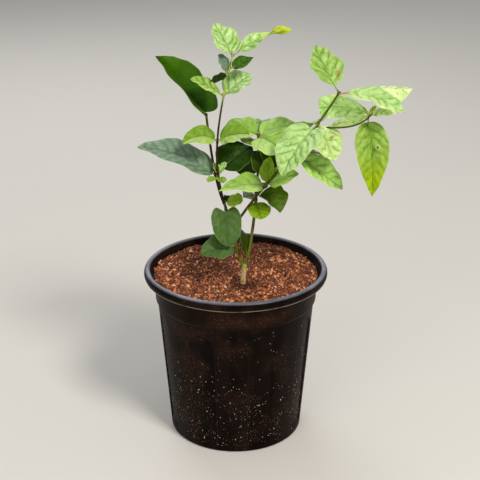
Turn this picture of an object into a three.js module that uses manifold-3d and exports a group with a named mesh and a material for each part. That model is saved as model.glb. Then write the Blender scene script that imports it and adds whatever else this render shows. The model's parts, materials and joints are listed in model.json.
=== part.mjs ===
// A young potted jasmine in a fluted nursery pot, in millimetres, +Z up.
// The origin is the centre of the pot's underside. +X is the viewer's right and -Y faces the viewer.

import * as THREE from "three";
import { mergeVertices } from "three/addons/utils/BufferGeometryUtils.js";
import Module from "manifold-3d";

const wasm = await Module();
wasm.setup();

// Clearance between neighbouring pieces, the narrowest facet kept, and how near corners are merged
const clearGap = 0.3;
const sliverWidth = 0.02;
const mergeDistance = 1e-4;

// Driving dimensions of the pot
const potHeight = 143;
const footRadius = 55;
const footRounding = 1.5;
const shoulderRadius = 64.1;
const shoulderHeight = 115.2;
const collarFootRadius = 65.9;
const collarFootHeight = 116.7;
const collarTopRadius = 67;
const collarTopHeight = 135.8;
const lipRadius = 75;
const lipCrestRadius = 72.4;
const lipInnerRadius = 69.3;
const lipRounding = 1;
const lipWidestAbove = 2.4;
const lipShoulder = 2;
const lipInset = 0.8;
const innerLedge = 3;
const potWall = 2.2;
const potFloor = 3;
const potSegments = 64;

// Shallow flutes pressed into the pot's wall
const fluteCount = 8;
const fluteTurn = 19.5;
const fluteDepth = 1.2;
const fluteRows = [
  { height: 6, reach: 0 },
  { height: 9.5, reach: 2 },
  { height: 97, reach: 2 },
  { height: 103, reach: 1 },
  { height: 107.5, reach: 0 },
];

// Drain holes in the pot's floor
const drainCount = 6;
const drainRadius = 4;
const drainCircle = 36;
const drainSides = 12;

// Potting mix
const soilHeight = 138.5;
const soilRounding = 1;
const soilDish = 3.3;
const soilFlatRadius = 32;
const soilSegments = 24;

// Limbs: four Bezier points each, and the radius at foot and tip
const limbRows = {
  trunk: {
    points: [[6, -18, 135.5], [6, -18, 140], [6.6, -17.2, 145], [7, -16.4, 149.5]],
    radii: [2.3, 2.2],
    flare: 0.2,
    swell: 0.1,
    from: [],
  },
  left_stem: {
    points: [[6.2, -16.6, 147.5], [1.5, -14.5, 162], [-3.5, -10, 179], [-8, -7.2, 196.5]],
    radii: [1.4, 1.2],
    from: ["trunk"],
  },
  right_stem: {
    points: [[7.8, -16.2, 147.5], [13, -13, 170], [19, 0, 208], [18, 14, 250]],
    radii: [1.4, 0.9],
    from: ["trunk", "left_stem"],
    tip: 0.96,
  },
  tall_bough: {
    points: [[-8, -7.2, 196.5], [-20, -7, 234], [-14, -6, 268], [-1.9, -4, 319.6]],
    radii: [1.1, 0.75],
    from: ["left_stem"],
    tip: 0.925,
  },
  outer_bough: {
    points: [[-8.6, -7, 198.5], [-15.5, -4, 212], [-19.5, 1, 240], [-23, 6, 269]],
    radii: [1.1, 0.9],
    from: ["left_stem", "tall_bough"],
    tip: 0.96,
  },
  leaning_bough: {
    points: [[-3.2, -10.2, 178], [22, -14.5, 222], [54, -20, 250], [77.5, -28, 295.5]],
    radii: [1.1, 0.85],
    from: ["left_stem"],
    tip: 0.97,
  },
  side_bough: {
    points: [[60.5, -23, 267.5], [76, -29, 268], [94, -33, 268], [101.5, -35, 281]],
    radii: [0.85, 0.65],
    from: ["leaning_bough"],
    tip: 0.86,
  },
};
const limbSides = 8;
const limbSpacing = 9;

// Leaves
const leafThickness = 0.9;
const leafStations = [0, 0.05, 0.14, 0.28, 0.44, 0.6, 0.76, 0.9, 1];
const smallLeafStations = [0, 0.12, 0.35, 0.65, 0.88, 1];
const smallLeaf = 21;
const twistSections = 24;
const midribSteps = 24;
const leafTipHalf = 0.25;
const lobeShare = 0.3;
const stalkRadius = 0.6;
const collarWall = 0.6;
const collarHalf = 1.2;
const leafStep = 0.45;

// Young shoots grow small leaves in crossed pairs by a seeded rule
const youngSeed = 23;
const youngTurn = 90;
const youngShrink = 0.8;
const youngSway = 30;
const youngLift = 12;
const youngTilt = 10;
const youngDroop = 20;
const youngFold = 15;

// A leaf's own sizes, over the usual ones. Angles are in degrees. Heading runs from +X towards +Y,
// rise is the slope from base to tip, droop is how far it bows over, roll turns the blade about its
// midrib, fold raises its halves, and lobe draws the base back beside the stalk.
function leaf(heading, rise, long, wide, droop, roll, fold, more = {}) {
  const usual = { stalk: 3, root: 0.5, tip: 0.8, lobe: 0, twist: 0, at: 0 };
  return { ...usual, heading, rise, long, wide, droop, roll, fold, ...more };
}

// Foliage masses: the limb that carries each, its place along that limb, and its leaves
const massRows = {
  outer_tip_leaf: {
    limb: "outer_bough",
    at: 1,
    shade: 0x2f6410,
    leaves: [leaf(171, 49, 57, 38, 2, -30, 44, { root: 0.42, tip: 0.6, lobe: 0.16 })],
  },
  outer_mid_leaves: {
    limb: "outer_bough",
    at: 0.41,
    shade: 0x35584a,
    leaves: [
      leaf(180, 20, 64, 31, 40, -22, 10),
      leaf(30, 25, 31, 31, 30, 25, 10, { stalk: 8 }),
    ],
  },
  tall_young_leaves: {
    limb: "tall_bough",
    at: 0.23,
    shade: 0x8fbe4c,
    leaves: [
      leaf(222, -12, 9, 8.5, 20, 0, 15, { tip: 0.5, stalk: 2 }),
      leaf(292, -12, 9, 8.5, 20, 0, 15, { tip: 0.5, stalk: 2 }),
      leaf(140, 62, 9, 6, 20, 0, 15),
      leaf(40, 50, 10, 8, 20, 0, 15, { tip: 0.5 }),
    ],
  },
  tall_mid_leaves: {
    limb: "tall_bough",
    at: 0.48,
    shade: 0x8fbe4c,
    leaves: [
      leaf(200, -2, 29, 17, 85, -45, 10, { tip: 1 }),
      leaf(345, 14, 25, 22, 50, 30, 10),
    ],
  },
  tall_high_leaves: {
    limb: "tall_bough",
    at: 0.77,
    shade: 0x9fce74,
    leaves: [
      leaf(193, 30, 27, 15.5, 16, -28, 14, { root: 0.8 }),
      leaf(28, 28, 25, 25, 25, 16, 15, { tip: 0.55 }),
    ],
  },
  tall_top_leaves: {
    limb: "tall_bough",
    at: 1,
    shade: 0xa4d47c,
    leaves: [
      leaf(150, 60, 14, 16, 15, 3, 0, { at: 0.9, root: 0.35, tip: 0.5, stalk: 2 }),
      leaf(164, -38, 14.5, 11.5, 54, 36, -12, { at: 0.9, root: 0.41, tip: 0.6, stalk: 2 }),
      leaf(10, 24, 18, 12, 10, 35, 10, { at: 0.918 }),
      leaf(136, 50, 26.5, 27, 20, 0, 10),
      leaf(5, 21, 46, 14, 40, 6, 10, { twist: -220, stalk: 6, root: 0.7 }),
    ],
  },
  right_round_leaf: {
    limb: "right_stem",
    at: 0.585,
    shade: 0x5d9a22,
    leaves: [leaf(281, -22, 19.5, 19, 10, 0, 10, { tip: 0.5 })],
  },
  right_low_leaves: {
    limb: "right_stem",
    at: 0.63,
    shade: 0x4f8a1e,
    leaves: [
      leaf(332, -33, 22, 34, 30, 8, 37, { root: 0.58, tip: 0.7 }),
      leaf(225, 2, 12, 13, 10, -30, 10),
      leaf(100, -10, 34, 26, 30, 0, 10),
    ],
  },
  right_mid_leaves: {
    limb: "right_stem",
    at: 0.92,
    shade: 0x3c5a16,
    leaves: [
      leaf(305, -60, 23, 27, 20, 0, 10),
      leaf(95, -8, 36, 28, 30, 0, 10),
      leaf(115, -60, 30, 30, 10, 0, 10, { tip: 0.45 }),
    ],
  },
  right_top_leaves: {
    limb: "right_stem",
    at: 1,
    shade: 0x93c45a,
    leaves: [
      leaf(160, -2, 30, 26, 50, -25, 10),
      leaf(314, -17, 30, 30, 30, 25, 10, { lobe: 0.15 }),
      leaf(25, 0, 42, 26, 50, 10, 10),
      leaf(85, 0, 42, 28, 40, 0, 10),
    ],
  },
  leaning_low_leaves: {
    limb: "leaning_bough",
    at: 0.33,
    shade: 0x79b33c,
    leaves: [
      leaf(195, -3, 36, 23.5, 31, -22, 11, { root: 0.4, tip: 1.25 }),
      leaf(356, 20, 25, 20, 20, 35, 20),
      leaf(60, 70, 20, 13, 10, 0, 10),
    ],
  },
  leaning_mid_leaves: {
    limb: "leaning_bough",
    at: 0.58,
    shade: 0x7fbf56,
    leaves: [
      leaf(345, -34, 39, 23, 10, 35, 22, { stalk: 8 }),
      leaf(42, -18, 38, 23, 30, 0, 10),
    ],
  },
  leaning_high_leaves: {
    limb: "leaning_bough",
    at: 0.8,
    shade: 0xa8d67e,
    leaves: [
      leaf(226, -41, 44, 36, 30, 0, 10, { lobe: 0.16, root: 0.42, stalk: 8 }),
      leaf(304, -50, 29, 26, 20, 10, 10),
      leaf(110, -28, 36, 24, 40, 0, 10),
    ],
  },
  leaning_top_leaves: {
    limb: "leaning_bough",
    at: 1,
    shade: 0xa8d67e,
    leaves: [
      leaf(131, 51, 34, 32, -8, 0, 11, { stalk: 7, root: 0.66, tip: 0.88 }),
      leaf(329, -11, 48, 27, 43, 7, 7, { stalk: 7, root: 0.61 }),
      leaf(11, 0, 49.5, 23, 17, 26, -40, { stalk: 9, root: 1.06, tip: 0.4 }),
    ],
  },
  side_top_leaves: {
    limb: "side_bough",
    at: 1,
    shade: 0x9cc93c,
    leaves: [
      leaf(152, -2.5, 40, 18.5, 34, -75, 17, { root: 0.7, tip: 0.3 }),
      leaf(151, -21, 30.5, 9, -2, -55, -15, { at: 0.97, tip: 0.4 }),
      leaf(283, -74, 57, 28, 39, 13, 25, { at: 0.9 }),
      leaf(350, 8, 17, 10, 20, 20, 10),
    ],
    young: { heading: 60, pairs: 2, long: 7.5, wide: 4.8, rise: 35 },
  },
  fork_leaves: {
    limb: "tall_bough",
    at: 0.035,
    shade: 0x4b7350,
    leaves: [
      leaf(280, -60, 28, 24.5, 20, 0, 10, { stalk: 8, lobe: 0.18, root: 0.3, tip: 0.6 }),
      leaf(338, 14, 13.5, 13.5, 10, 35, 10, { tip: 0.5 }),
      leaf(60, -10, 14, 12, 10, 30, 10),
    ],
  },
  left_low_leaves: {
    limb: "left_stem",
    at: 0.4,
    shade: 0x4b7350,
    leaves: [
      leaf(205, -5, 28, 24, 20, -30, 10),
      leaf(100, 5, 26, 20, 30, 0, 10),
    ],
  },
  right_foot_leaf: {
    limb: "right_stem",
    at: 0.12,
    shade: 0x3f6a2c,
    leaves: [leaf(150, 72, 18.5, 15, 20, 0, 10)],
  },
};

// Turns a closed geometry into a solid that can be joined and cut
function toSolid(geometry) {
  geometry.deleteAttribute("normal");
  geometry.deleteAttribute("uv");
  const merged = mergeVertices(geometry, mergeDistance);
  return new wasm.Manifold(new wasm.Mesh({
    numProp: 3,
    vertProperties: new Float32Array(merged.attributes.position.array),
    triVerts: new Uint32Array(merged.index.array),
  }));
}

// Turns a solid back into a geometry
function toGeometry(solid) {
  const mesh = solid.getMesh();
  const geometry = new THREE.BufferGeometry();
  geometry.setAttribute("position", new THREE.BufferAttribute(mesh.vertProperties, 3));
  geometry.setIndex(new THREE.BufferAttribute(mesh.triVerts, 1));
  return geometry;
}

function signedVolume(points, triangles) {
  let volume = 0;
  for (let i = 0; i < triangles.length; i += 3) {
    const [a, b, c] = [0, 1, 2].map((k) => points[triangles[i + k]]);
    volume += a.dot(b.clone().cross(c)) / 6;
  }
  return volume;
}

// Skins a row of rings, each with the same number of points, into a closed solid
function loft(rings) {
  const sides = rings[0].length;
  const points = rings.flat();
  const triangles = [];
  for (let i = 0; i + 1 < rings.length; i += 1) {
    for (let k = 0; k < sides; k += 1) {
      const next = (k + 1) % sides;
      const [a, b] = [i * sides + k, i * sides + next];
      triangles.push(a, b, b + sides, a, b + sides, a + sides);
    }
  }
  const last = (rings.length - 1) * sides;
  for (let k = 1; k + 1 < sides; k += 1) {
    triangles.push(0, k + 1, k, last, last + k, last + k + 1);
  }
  if (signedVolume(points, triangles) < 0) {
    triangles.reverse();
  }
  const geometry = new THREE.BufferGeometry().setFromPoints(points);
  geometry.setIndex(triangles);
  return toSolid(geometry);
}

// A ring of points square to a direction
function ringAround(centre, direction, radius, sides) {
  const guide = Math.abs(direction.z) > 0.9 ? new THREE.Vector3(1, 0, 0) : new THREE.Vector3(0, 0, 1);
  const across = direction.clone().cross(guide).normalize();
  const beside = direction.clone().cross(across).normalize();
  return Array.from({ length: sides }, (_, k) => {
    const turn = (2 * Math.PI * k) / sides;
    return centre.clone()
      .addScaledVector(across, radius * Math.cos(turn))
      .addScaledVector(beside, radius * Math.sin(turn));
  });
}

function limbCurve(name) {
  return new THREE.CubicBezierCurve3(...limbRows[name].points.map((p) => new THREE.Vector3(...p)));
}

// Radius of a limb at a place along it, with a flare at a foot and a swelling under a fork
function limbRadius(name, t) {
  const { radii, flare = 0, swell = 0 } = limbRows[name];
  const plain = THREE.MathUtils.lerp(radii[0], radii[1], t);
  return plain * (1 + flare * (1 - t) ** 4 + swell * t ** 3);
}

// Stretch of a limb between two places, made thicker and longer by the given amount
function limbStretch(name, start, end, thicker = 0) {
  const curve = limbCurve(name);
  const count = Math.max(2, Math.ceil(((end - start) * curve.getLength()) / limbSpacing));
  const rings = [];
  for (let i = 0; i <= count; i += 1) {
    const t = THREE.MathUtils.lerp(start, end, i / count);
    const direction = curve.getTangent(t);
    const centre = curve.getPoint(t);
    if (i === 0) {
      centre.addScaledVector(direction, -thicker);
    }
    if (i === count) {
      centre.addScaledVector(direction, thicker);
    }
    rings.push(ringAround(centre, direction, limbRadius(name, t) + thicker, limbSides));
  }
  return loft(rings);
}

// Where a limb's own solid ends and a mass at its tip takes over
function limbEnd(name) {
  const { tip = 1 } = limbRows[name];
  return tip === 1 ? 1 : tip - clearGap / limbCurve(name).getLength();
}

function limbSolid(name) {
  const parents = limbRows[name].from.map((parent) => limbStretch(parent, 0, limbEnd(parent), clearGap));
  const whole = limbStretch(name, 0, limbEnd(name));
  return largestBody(parents.reduce((left, parent) => left.subtract(parent), whole));
}

// Keeps the largest body of a solid, drops loose scraps and closes up slivers
function largestBody(solid) {
  const bodies = solid.decompose();
  const largest = bodies.reduce((best, body) => (body.volume() > best.volume() ? body : best));
  return largest.simplify(sliverWidth);
}

// Directions along, across and square to a leaf at a place from base to tip
function leafAxes(row, s) {
  const heading = THREE.MathUtils.degToRad(row.heading);
  const rise = THREE.MathUtils.degToRad(row.rise + row.droop * (0.5 - s));
  const roll = THREE.MathUtils.degToRad(row.roll + row.twist * (s - 0.5));
  const along = new THREE.Vector3(
    Math.cos(rise) * Math.cos(heading),
    Math.cos(rise) * Math.sin(heading),
    Math.sin(rise),
  );
  const level = new THREE.Vector3(-Math.sin(heading), Math.cos(heading), 0);
  const upright = along.clone().cross(level);
  const side = level.clone().multiplyScalar(Math.cos(roll)).addScaledVector(upright, Math.sin(roll));
  const normal = upright.clone().multiplyScalar(Math.cos(roll)).addScaledVector(level, -Math.sin(roll));
  return { along, side, normal };
}

// Point on a leaf's midrib, measured from the leaf's node
function midribPoint(row, s) {
  const point = leafAxes(row, 0).along.multiplyScalar(row.stalk);
  for (let i = 0; i < midribSteps; i += 1) {
    const middle = (s * (i + 0.5)) / midribSteps;
    point.addScaledVector(leafAxes(row, middle).along, (row.long * s) / midribSteps);
  }
  return point;
}

function leafHalfWidth(row, s) {
  const peak = row.root / (row.root + row.tip);
  return (row.wide / 2) * (s / peak) ** row.root * ((1 - s) / (1 - peak)) ** row.tip;
}

// Cross-section of a leaf: its two edges, and the midrib's top and underside between them
function leafRing(row, s, node) {
  const { along, side, normal } = leafAxes(row, s);
  const half = Math.max(leafHalfWidth(row, s), THREE.MathUtils.lerp(stalkRadius, leafTipHalf, s));
  const fold = THREE.MathUtils.degToRad(row.fold);
  const centre = midribPoint(row, s).add(node);
  const drawn = Math.min(1, half / (row.wide * lobeShare));
  const back = row.lobe * row.long * drawn * (1 - s) ** 3;
  const edge = (v) => centre.clone()
    .addScaledVector(side, v * half * Math.cos(fold))
    .addScaledVector(normal, half * Math.sin(fold))
    .addScaledVector(along, -back);
  const rib = (face) => centre.clone().addScaledVector(normal, (face * leafThickness) / 2);
  return [edge(-1), rib(1), edge(1), rib(-1)];
}

// Foot of a leaf's stalk, on the axis of the limb that carries it
function stalkRing(row, node) {
  const { side, normal } = leafAxes(row, 0);
  const place = (direction, sign) => node.clone().addScaledVector(direction, sign * stalkRadius);
  return [place(side, -1), place(normal, 1), place(side, 1), place(normal, -1)];
}

// One leaf with its stalk. A twisted leaf has closer sections, so that its two faces stay apart
function leafSolid(row, node) {
  const plain = row.long > smallLeaf ? leafStations : smallLeafStations;
  const twisted = Array.from({ length: twistSections + 1 }, (_, i) => i / twistSections);
  const stations = row.twist ? twisted : plain;
  return loft([stalkRing(row, node), ...stations.map((s) => leafRing(row, s, node))]);
}

function seededRandom(seed) {
  let state = seed;
  return () => {
    state = (state * 1664525 + 1013904223) % 4294967296;
    return state / 4294967296;
  };
}

// Small leaves of a young shoot, in pairs that cross and shrink towards its tip
function youngLeaves(young) {
  const random = seededRandom(youngSeed);
  const rows = [];
  for (let pair = 0; pair < young.pairs; pair += 1) {
    for (const facing of [0, 180]) {
      const heading = young.heading + facing + pair * youngTurn + (random() - 0.5) * youngSway;
      const rise = young.rise + pair * youngLift + (random() - 0.5) * youngTilt;
      const size = youngShrink ** pair;
      rows.push(leaf(heading, rise, young.long * size, young.wide * size, youngDroop, 0, youngFold));
    }
  }
  return rows;
}

// One foliage mass: a collar round its limb, or the limb's last stretch, with the leaves fused on
function massSolid(row) {
  const { limb, at, leaves, young } = row;
  const curve = limbCurve(limb);
  const atTip = at === 1;
  const reach = collarHalf / curve.getLength();
  const core = atTip
    ? limbStretch(limb, limbRows[limb].tip, 1)
    : limbStretch(limb, at - reach, at + reach, clearGap + collarWall);
  const rows = young ? [...leaves, ...youngLeaves(young)] : leaves;
  const step = atTip ? leafStep / curve.getLength() : 0;
  const place = (each, i) => curve.getPoint(each.at || at - step * (i + 1));
  const whole = rows.reduce((mass, each, i) => mass.add(leafSolid(each, place(each, i))), core);
  const limbs = Object.keys(limbRows).map((name) => limbStretch(name, 0, limbEnd(name), clearGap));
  return largestBody(limbs.reduce((mass, other) => mass.subtract(other), whole));
}

// Outer radius of the pot's tapered wall below the shoulder
function wallRadius(height) {
  const share = (height - footRounding) / (shoulderHeight - footRounding);
  return THREE.MathUtils.lerp(footRadius, shoulderRadius, share);
}

// Revolves a profile of [radius, height] points about the Z axis
function revolve(profile, segments, turn = 0) {
  const points = profile.map(([radius, height]) => new THREE.Vector2(radius, height));
  return new THREE.LatheGeometry(points, segments, turn).rotateX(Math.PI / 2);
}

// Presses the flutes into the rows of the wall that take part in them
function pressFlutes(geometry, profileLength, firstRow) {
  const position = geometry.attributes.position;
  const perFlute = potSegments / fluteCount;
  for (let segment = 0; segment <= potSegments; segment += 1) {
    const column = segment % perFlute;
    const fromCentre = Math.min(column + 1, perFlute - column);
    fluteRows.forEach(({ reach }, k) => {
      if (fromCentre > reach) {
        return;
      }
      const index = segment * profileLength + firstRow + k;
      const [x, y] = [position.getX(index), position.getY(index)];
      const shrink = 1 - fluteDepth / Math.hypot(x, y);
      position.setXY(index, x * shrink, y * shrink);
    });
  }
}

function potSolid() {
  const foot = [[0, 0], [footRadius - footRounding, 0], [footRadius, footRounding]];
  const outside = [
    ...foot,
    ...fluteRows.map(({ height }) => [wallRadius(height), height]),
    [shoulderRadius, shoulderHeight],
    [collarFootRadius, collarFootHeight],
    [collarTopRadius, collarTopHeight],
    [lipRadius - lipRounding, collarTopHeight + lipRounding],
    [lipRadius, collarTopHeight + lipWidestAbove],
    [lipRadius - lipRounding / 2, potHeight - lipShoulder],
    [lipCrestRadius, potHeight],
  ];
  const inside = [
    [lipInnerRadius + lipInset, potHeight - lipInset],
    [lipInnerRadius, potHeight - lipInset - lipShoulder],
    [collarTopRadius - potWall, collarTopHeight - innerLedge],
    [collarFootRadius - potWall, collarFootHeight],
    [shoulderRadius - potWall, shoulderHeight],
    [wallRadius(potFloor) - potWall, potFloor],
    [0, potFloor],
  ];
  const profile = [...outside, ...inside];
  const halfSegment = Math.PI / potSegments;
  const body = revolve(profile, potSegments, THREE.MathUtils.degToRad(fluteTurn) + halfSegment);
  pressFlutes(body, profile.length, foot.length);
  let solid = toSolid(body);
  for (let i = 0; i < drainCount; i += 1) {
    const turn = (2 * Math.PI * i) / drainCount;
    const drain = new THREE.CylinderGeometry(drainRadius, drainRadius, potFloor * 3, drainSides)
      .rotateX(Math.PI / 2)
      .translate(drainCircle * Math.cos(turn), drainCircle * Math.sin(turn), 0);
    solid = solid.subtract(toSolid(drain));
  }
  return solid;
}

function soilSolid() {
  const slack = potWall + 2 * clearGap;
  return toSolid(revolve([
    [0, potFloor + clearGap],
    [wallRadius(potFloor) - slack, potFloor + clearGap],
    [shoulderRadius - slack, shoulderHeight],
    [collarFootRadius - slack, collarFootHeight],
    [collarTopRadius - slack, collarTopHeight - innerLedge],
    [lipInnerRadius - slack, soilHeight - soilRounding],
    [lipInnerRadius - 2 * slack, soilHeight],
    [(soilFlatRadius + lipInnerRadius) / 2, soilHeight - soilDish / 3],
    [soilFlatRadius, soilHeight - soilDish],
    [0, soilHeight - soilDish],
  ], soilSegments));
}

function part(name, solid, color, roughness) {
  const material = new THREE.MeshStandardMaterial({ color, roughness, metalness: 0 });
  const mesh = new THREE.Mesh(toGeometry(solid), material);
  mesh.name = name;
  return mesh;
}

const limbColours = {
  trunk: 0xb09265,
  left_stem: 0x5c6428,
  right_stem: 0x66702c,
  tall_bough: 0x4a3a1e,
  outer_bough: 0x3c3018,
  leaning_bough: 0x47421c,
  side_bough: 0x4c4a20,
};

const plant = new THREE.Group();
plant.add(part("pot", potSolid(), 0x17120f, 0.55));
plant.add(part("potting_mix", soilSolid(), 0x6e3d24, 1));
for (const name of Object.keys(limbRows)) {
  plant.add(part(name, limbSolid(name), limbColours[name], 0.8));
}
for (const [name, row] of Object.entries(massRows)) {
  plant.add(part(name, massSolid(row), row.shade, 0.5));
}

export default plant;
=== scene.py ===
import json
import math

import bmesh
import bpy
import numpy as np
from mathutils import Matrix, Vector, noise

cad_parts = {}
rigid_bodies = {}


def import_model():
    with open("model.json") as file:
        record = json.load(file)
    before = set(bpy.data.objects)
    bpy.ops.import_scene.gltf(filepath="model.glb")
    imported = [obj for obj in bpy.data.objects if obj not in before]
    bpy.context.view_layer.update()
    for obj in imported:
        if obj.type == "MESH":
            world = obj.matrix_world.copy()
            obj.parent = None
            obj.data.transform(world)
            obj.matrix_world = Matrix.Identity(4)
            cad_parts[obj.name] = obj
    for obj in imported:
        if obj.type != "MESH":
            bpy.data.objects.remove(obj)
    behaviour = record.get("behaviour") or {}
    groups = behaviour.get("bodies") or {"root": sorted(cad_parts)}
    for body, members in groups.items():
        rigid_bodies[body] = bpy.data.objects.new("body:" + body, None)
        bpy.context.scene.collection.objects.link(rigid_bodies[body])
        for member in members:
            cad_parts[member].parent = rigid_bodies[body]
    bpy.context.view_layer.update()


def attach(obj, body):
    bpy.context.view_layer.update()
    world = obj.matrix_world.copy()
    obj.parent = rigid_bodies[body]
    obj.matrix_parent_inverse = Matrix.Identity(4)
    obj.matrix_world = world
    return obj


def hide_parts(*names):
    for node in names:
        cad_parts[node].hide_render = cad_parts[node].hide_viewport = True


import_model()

# A young jasmine in a fluted nursery pot. Sizes are in millimetres, meshes in metres.
scene = bpy.context.scene
mm = 0.001


# Node helpers

def feed(tree, slot, value):
    if isinstance(value, Field):
        tree.links.new(value.socket, slot)
    elif isinstance(value, bpy.types.NodeSocket):
        tree.links.new(value, slot)
    else:
        slot.default_value = value


def pick(sockets, name):
    return next(socket for socket in sockets if socket.enabled and socket.name == name)


def addNode(tree, kind, settings={}, values={}):
    node = tree.nodes.new(kind)
    for name, value in settings.items():
        setattr(node, name, value)
    for name, value in values.items():
        feed(tree, pick(node.inputs, name), value)
    return node


# A number in a node tree that takes plain arithmetic
class Field:
    def __init__(self, tree, socket):
        self.tree = tree
        self.socket = socket

    def calc(self, operation, *others):
        return calc(self.tree, operation, self, *others)

    def __add__(self, other):
        return self.calc("ADD", other)

    def __sub__(self, other):
        return self.calc("SUBTRACT", other)

    def __rsub__(self, other):
        return calc(self.tree, "SUBTRACT", other, self)

    def __mul__(self, other):
        return self.calc("MULTIPLY", other)

    def __truediv__(self, other):
        return self.calc("DIVIDE", other)

    def __rtruediv__(self, other):
        return calc(self.tree, "DIVIDE", other, self)

    def __pow__(self, other):
        return self.calc("POWER", other)

    __radd__ = __add__
    __rmul__ = __mul__

    # 0 at low and 1 at high, eased, with low above high allowed
    def ease(self, low, high):
        values = {"Value": self, "From Min": low, "From Max": high}
        node = addNode(self.tree, "ShaderNodeMapRange", {"interpolation_type": "SMOOTHSTEP"}, values)
        return Field(self.tree, node.outputs[0])


def calc(tree, operation, *values):
    node = tree.nodes.new("ShaderNodeMath")
    node.operation = operation
    for slot, value in zip(node.inputs, values):
        feed(tree, slot, value)
    return Field(tree, node.outputs[0])


def vectorSum(tree, *vectors):
    total = vectors[0]
    for vector in vectors[1:]:
        node = tree.nodes.new("ShaderNodeVectorMath")
        feed(tree, node.inputs[0], total)
        feed(tree, node.inputs[1], vector)
        total = node.outputs[0]
    return total


def scaled(tree, vector, amount):
    values = {"Vector": vector, "Scale": amount}
    return addNode(tree, "ShaderNodeVectorMath", {"operation": "SCALE"}, values).outputs[0]


def combined(tree, x, y, z):
    return addNode(tree, "ShaderNodeCombineXYZ", {}, {"X": x, "Y": y, "Z": z}).outputs[0]


def noiseField(tree, vector, scale, detail=2.0):
    values = {"Vector": vector, "Scale": scale, "Detail": detail}
    return Field(tree, addNode(tree, "ShaderNodeTexNoise", {}, values).outputs[0])


# A geometry node by its short name; gives its first output
def step(tree, kind, values, settings={}):
    return addNode(tree, "GeometryNode" + kind, settings, values).outputs[0]


def randomValue(tree, seed, kind="FLOAT", limits={}):
    node = addNode(tree, "FunctionNodeRandomValue", {"data_type": kind}, {**limits, "Seed": seed})
    return pick(node.outputs, "Value")


socketKinds = {float: "NodeSocketFloat", int: "NodeSocketInt"}


# A new geometry tree with named inputs
def newTree(name, sizes, links=()):
    tree = bpy.data.node_groups.new(name, "GeometryNodeTree")
    tree.interface.new_socket("Geometry", in_out="OUTPUT", socket_type="NodeSocketGeometry")
    tree.interface.new_socket("Geometry", in_out="INPUT", socket_type="NodeSocketGeometry")
    for label, value in sizes.items():
        socket = tree.interface.new_socket(label, in_out="INPUT", socket_type=socketKinds[type(value)])
        socket.default_value = value
    for label in (*links, "Material"):
        tree.interface.new_socket(label, in_out="INPUT", socket_type="NodeSocket" + label)
    given = tree.nodes.new("NodeGroupInput").outputs
    result = tree.nodes.new("NodeGroupOutput").inputs[0]
    return tree, given, result


# Ends a geometry tree: instances made real and the piece's material set
def finishTree(tree, geometry, given, result):
    real = step(tree, "RealizeInstances", {"Geometry": geometry})
    dressed = step(tree, "SetMaterial", {"Geometry": real, "Material": given["Material"]})
    tree.links.new(dressed, result)
    return tree


def savedAs(tree, geometry, name, value, kind="FLOAT", domain="POINT"):
    settings = {"data_type": kind, "domain": domain}
    values = {"Geometry": geometry, "Name": name, "Value": value}
    return addNode(tree, "GeometryNodeStoreNamedAttribute", settings, values).outputs[0]


def named(tree, name, kind="FLOAT"):
    node = addNode(tree, "GeometryNodeInputNamedAttribute", {"data_type": kind}, {"Name": name})
    socket = pick(node.outputs, "Attribute")
    return Field(tree, socket) if kind == "FLOAT" else socket


# Mesh helpers

attributeKinds = {1: ("FLOAT", "value"), 3: ("FLOAT_VECTOR", "vector"), 4: ("FLOAT_COLOR", "color")}


def newMesh(name, points, edges=(), faces=(), attributes={}):
    mesh = bpy.data.meshes.new(name)
    mesh.from_pydata(np.asarray(points, float).tolist(), [tuple(e) for e in edges], [tuple(f) for f in faces])
    for label, values in attributes.items():
        values = np.asarray(values, np.float32)
        kind, key = attributeKinds[values.shape[1] if values.ndim > 1 else 1]
        mesh.attributes.new(label, kind, "POINT").data.foreach_set(key, values.ravel())
    return mesh


def newObject(name, data):
    made = bpy.data.objects.new(name, data)
    scene.collection.objects.link(made)
    return made


# Runs a geometry tree on a mesh and keeps the result as a plain mesh
def grow(name, mesh, tree, values):
    piece = newObject(name, mesh)
    modifier = piece.modifiers.new(tree.name, "NODES")
    modifier.node_group = tree
    for item in tree.interface.items_tree:
        if item.in_out == "INPUT" and item.name in values:
            modifier[item.identifier] = values[item.name]
    depsgraph = bpy.context.evaluated_depsgraph_get()
    grown = bpy.data.meshes.new_from_object(
        piece.evaluated_get(depsgraph), preserve_all_data_layers=True, depsgraph=depsgraph)
    piece.modifiers.remove(modifier)
    piece.data = grown
    grown.name = name
    bpy.data.meshes.remove(mesh)
    return piece


def settle(piece, node, slot):
    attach(piece, "root")
    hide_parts(node)


# Colours are written as they look on screen, 0 to 255
def tone(red, green, blue):
    shares = np.array([red, green, blue]) / 255
    linear = np.where(shares <= 0.04045, shares / 12.92, ((shares + 0.055) / 1.055) ** 2.4)
    return (*(float(part) for part in linear), 1.0)


# Material helpers

def newMaterial(name, fixed):
    material = bpy.data.materials.new(name)
    material.use_nodes = True
    tree = material.node_tree
    shader = tree.nodes["Principled BSDF"]
    for socket, value in fixed.items():
        shader.inputs[socket].default_value = value
    return material, tree, shader


def attribute(tree, name, output="Fac"):
    socket = addNode(tree, "ShaderNodeAttribute", {"attribute_name": name}).outputs[output]
    return Field(tree, socket) if output == "Fac" else socket


def objectPlace(tree, stretch=(1, 1, 1)):
    place = tree.nodes.new("ShaderNodeTexCoord").outputs["Object"]
    return addNode(tree, "ShaderNodeMapping", {}, {"Vector": place, "Scale": stretch}).outputs[0]


def mixed(tree, factor, first, second, blend="MIX"):
    settings = {"data_type": "RGBA", "blend_type": blend}
    node = addNode(tree, "ShaderNodeMix", settings, {"Factor": factor, "A": first, "B": second})
    return pick(node.outputs, "Result")


# Lays colours over one another: each a factor, a colour and, where it isn't a plain mix, a blend
def layered(tree, colour, layers):
    for factor, over, *blend in layers:
        colour = mixed(tree, factor, colour, over, *blend)
    return colour


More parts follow.
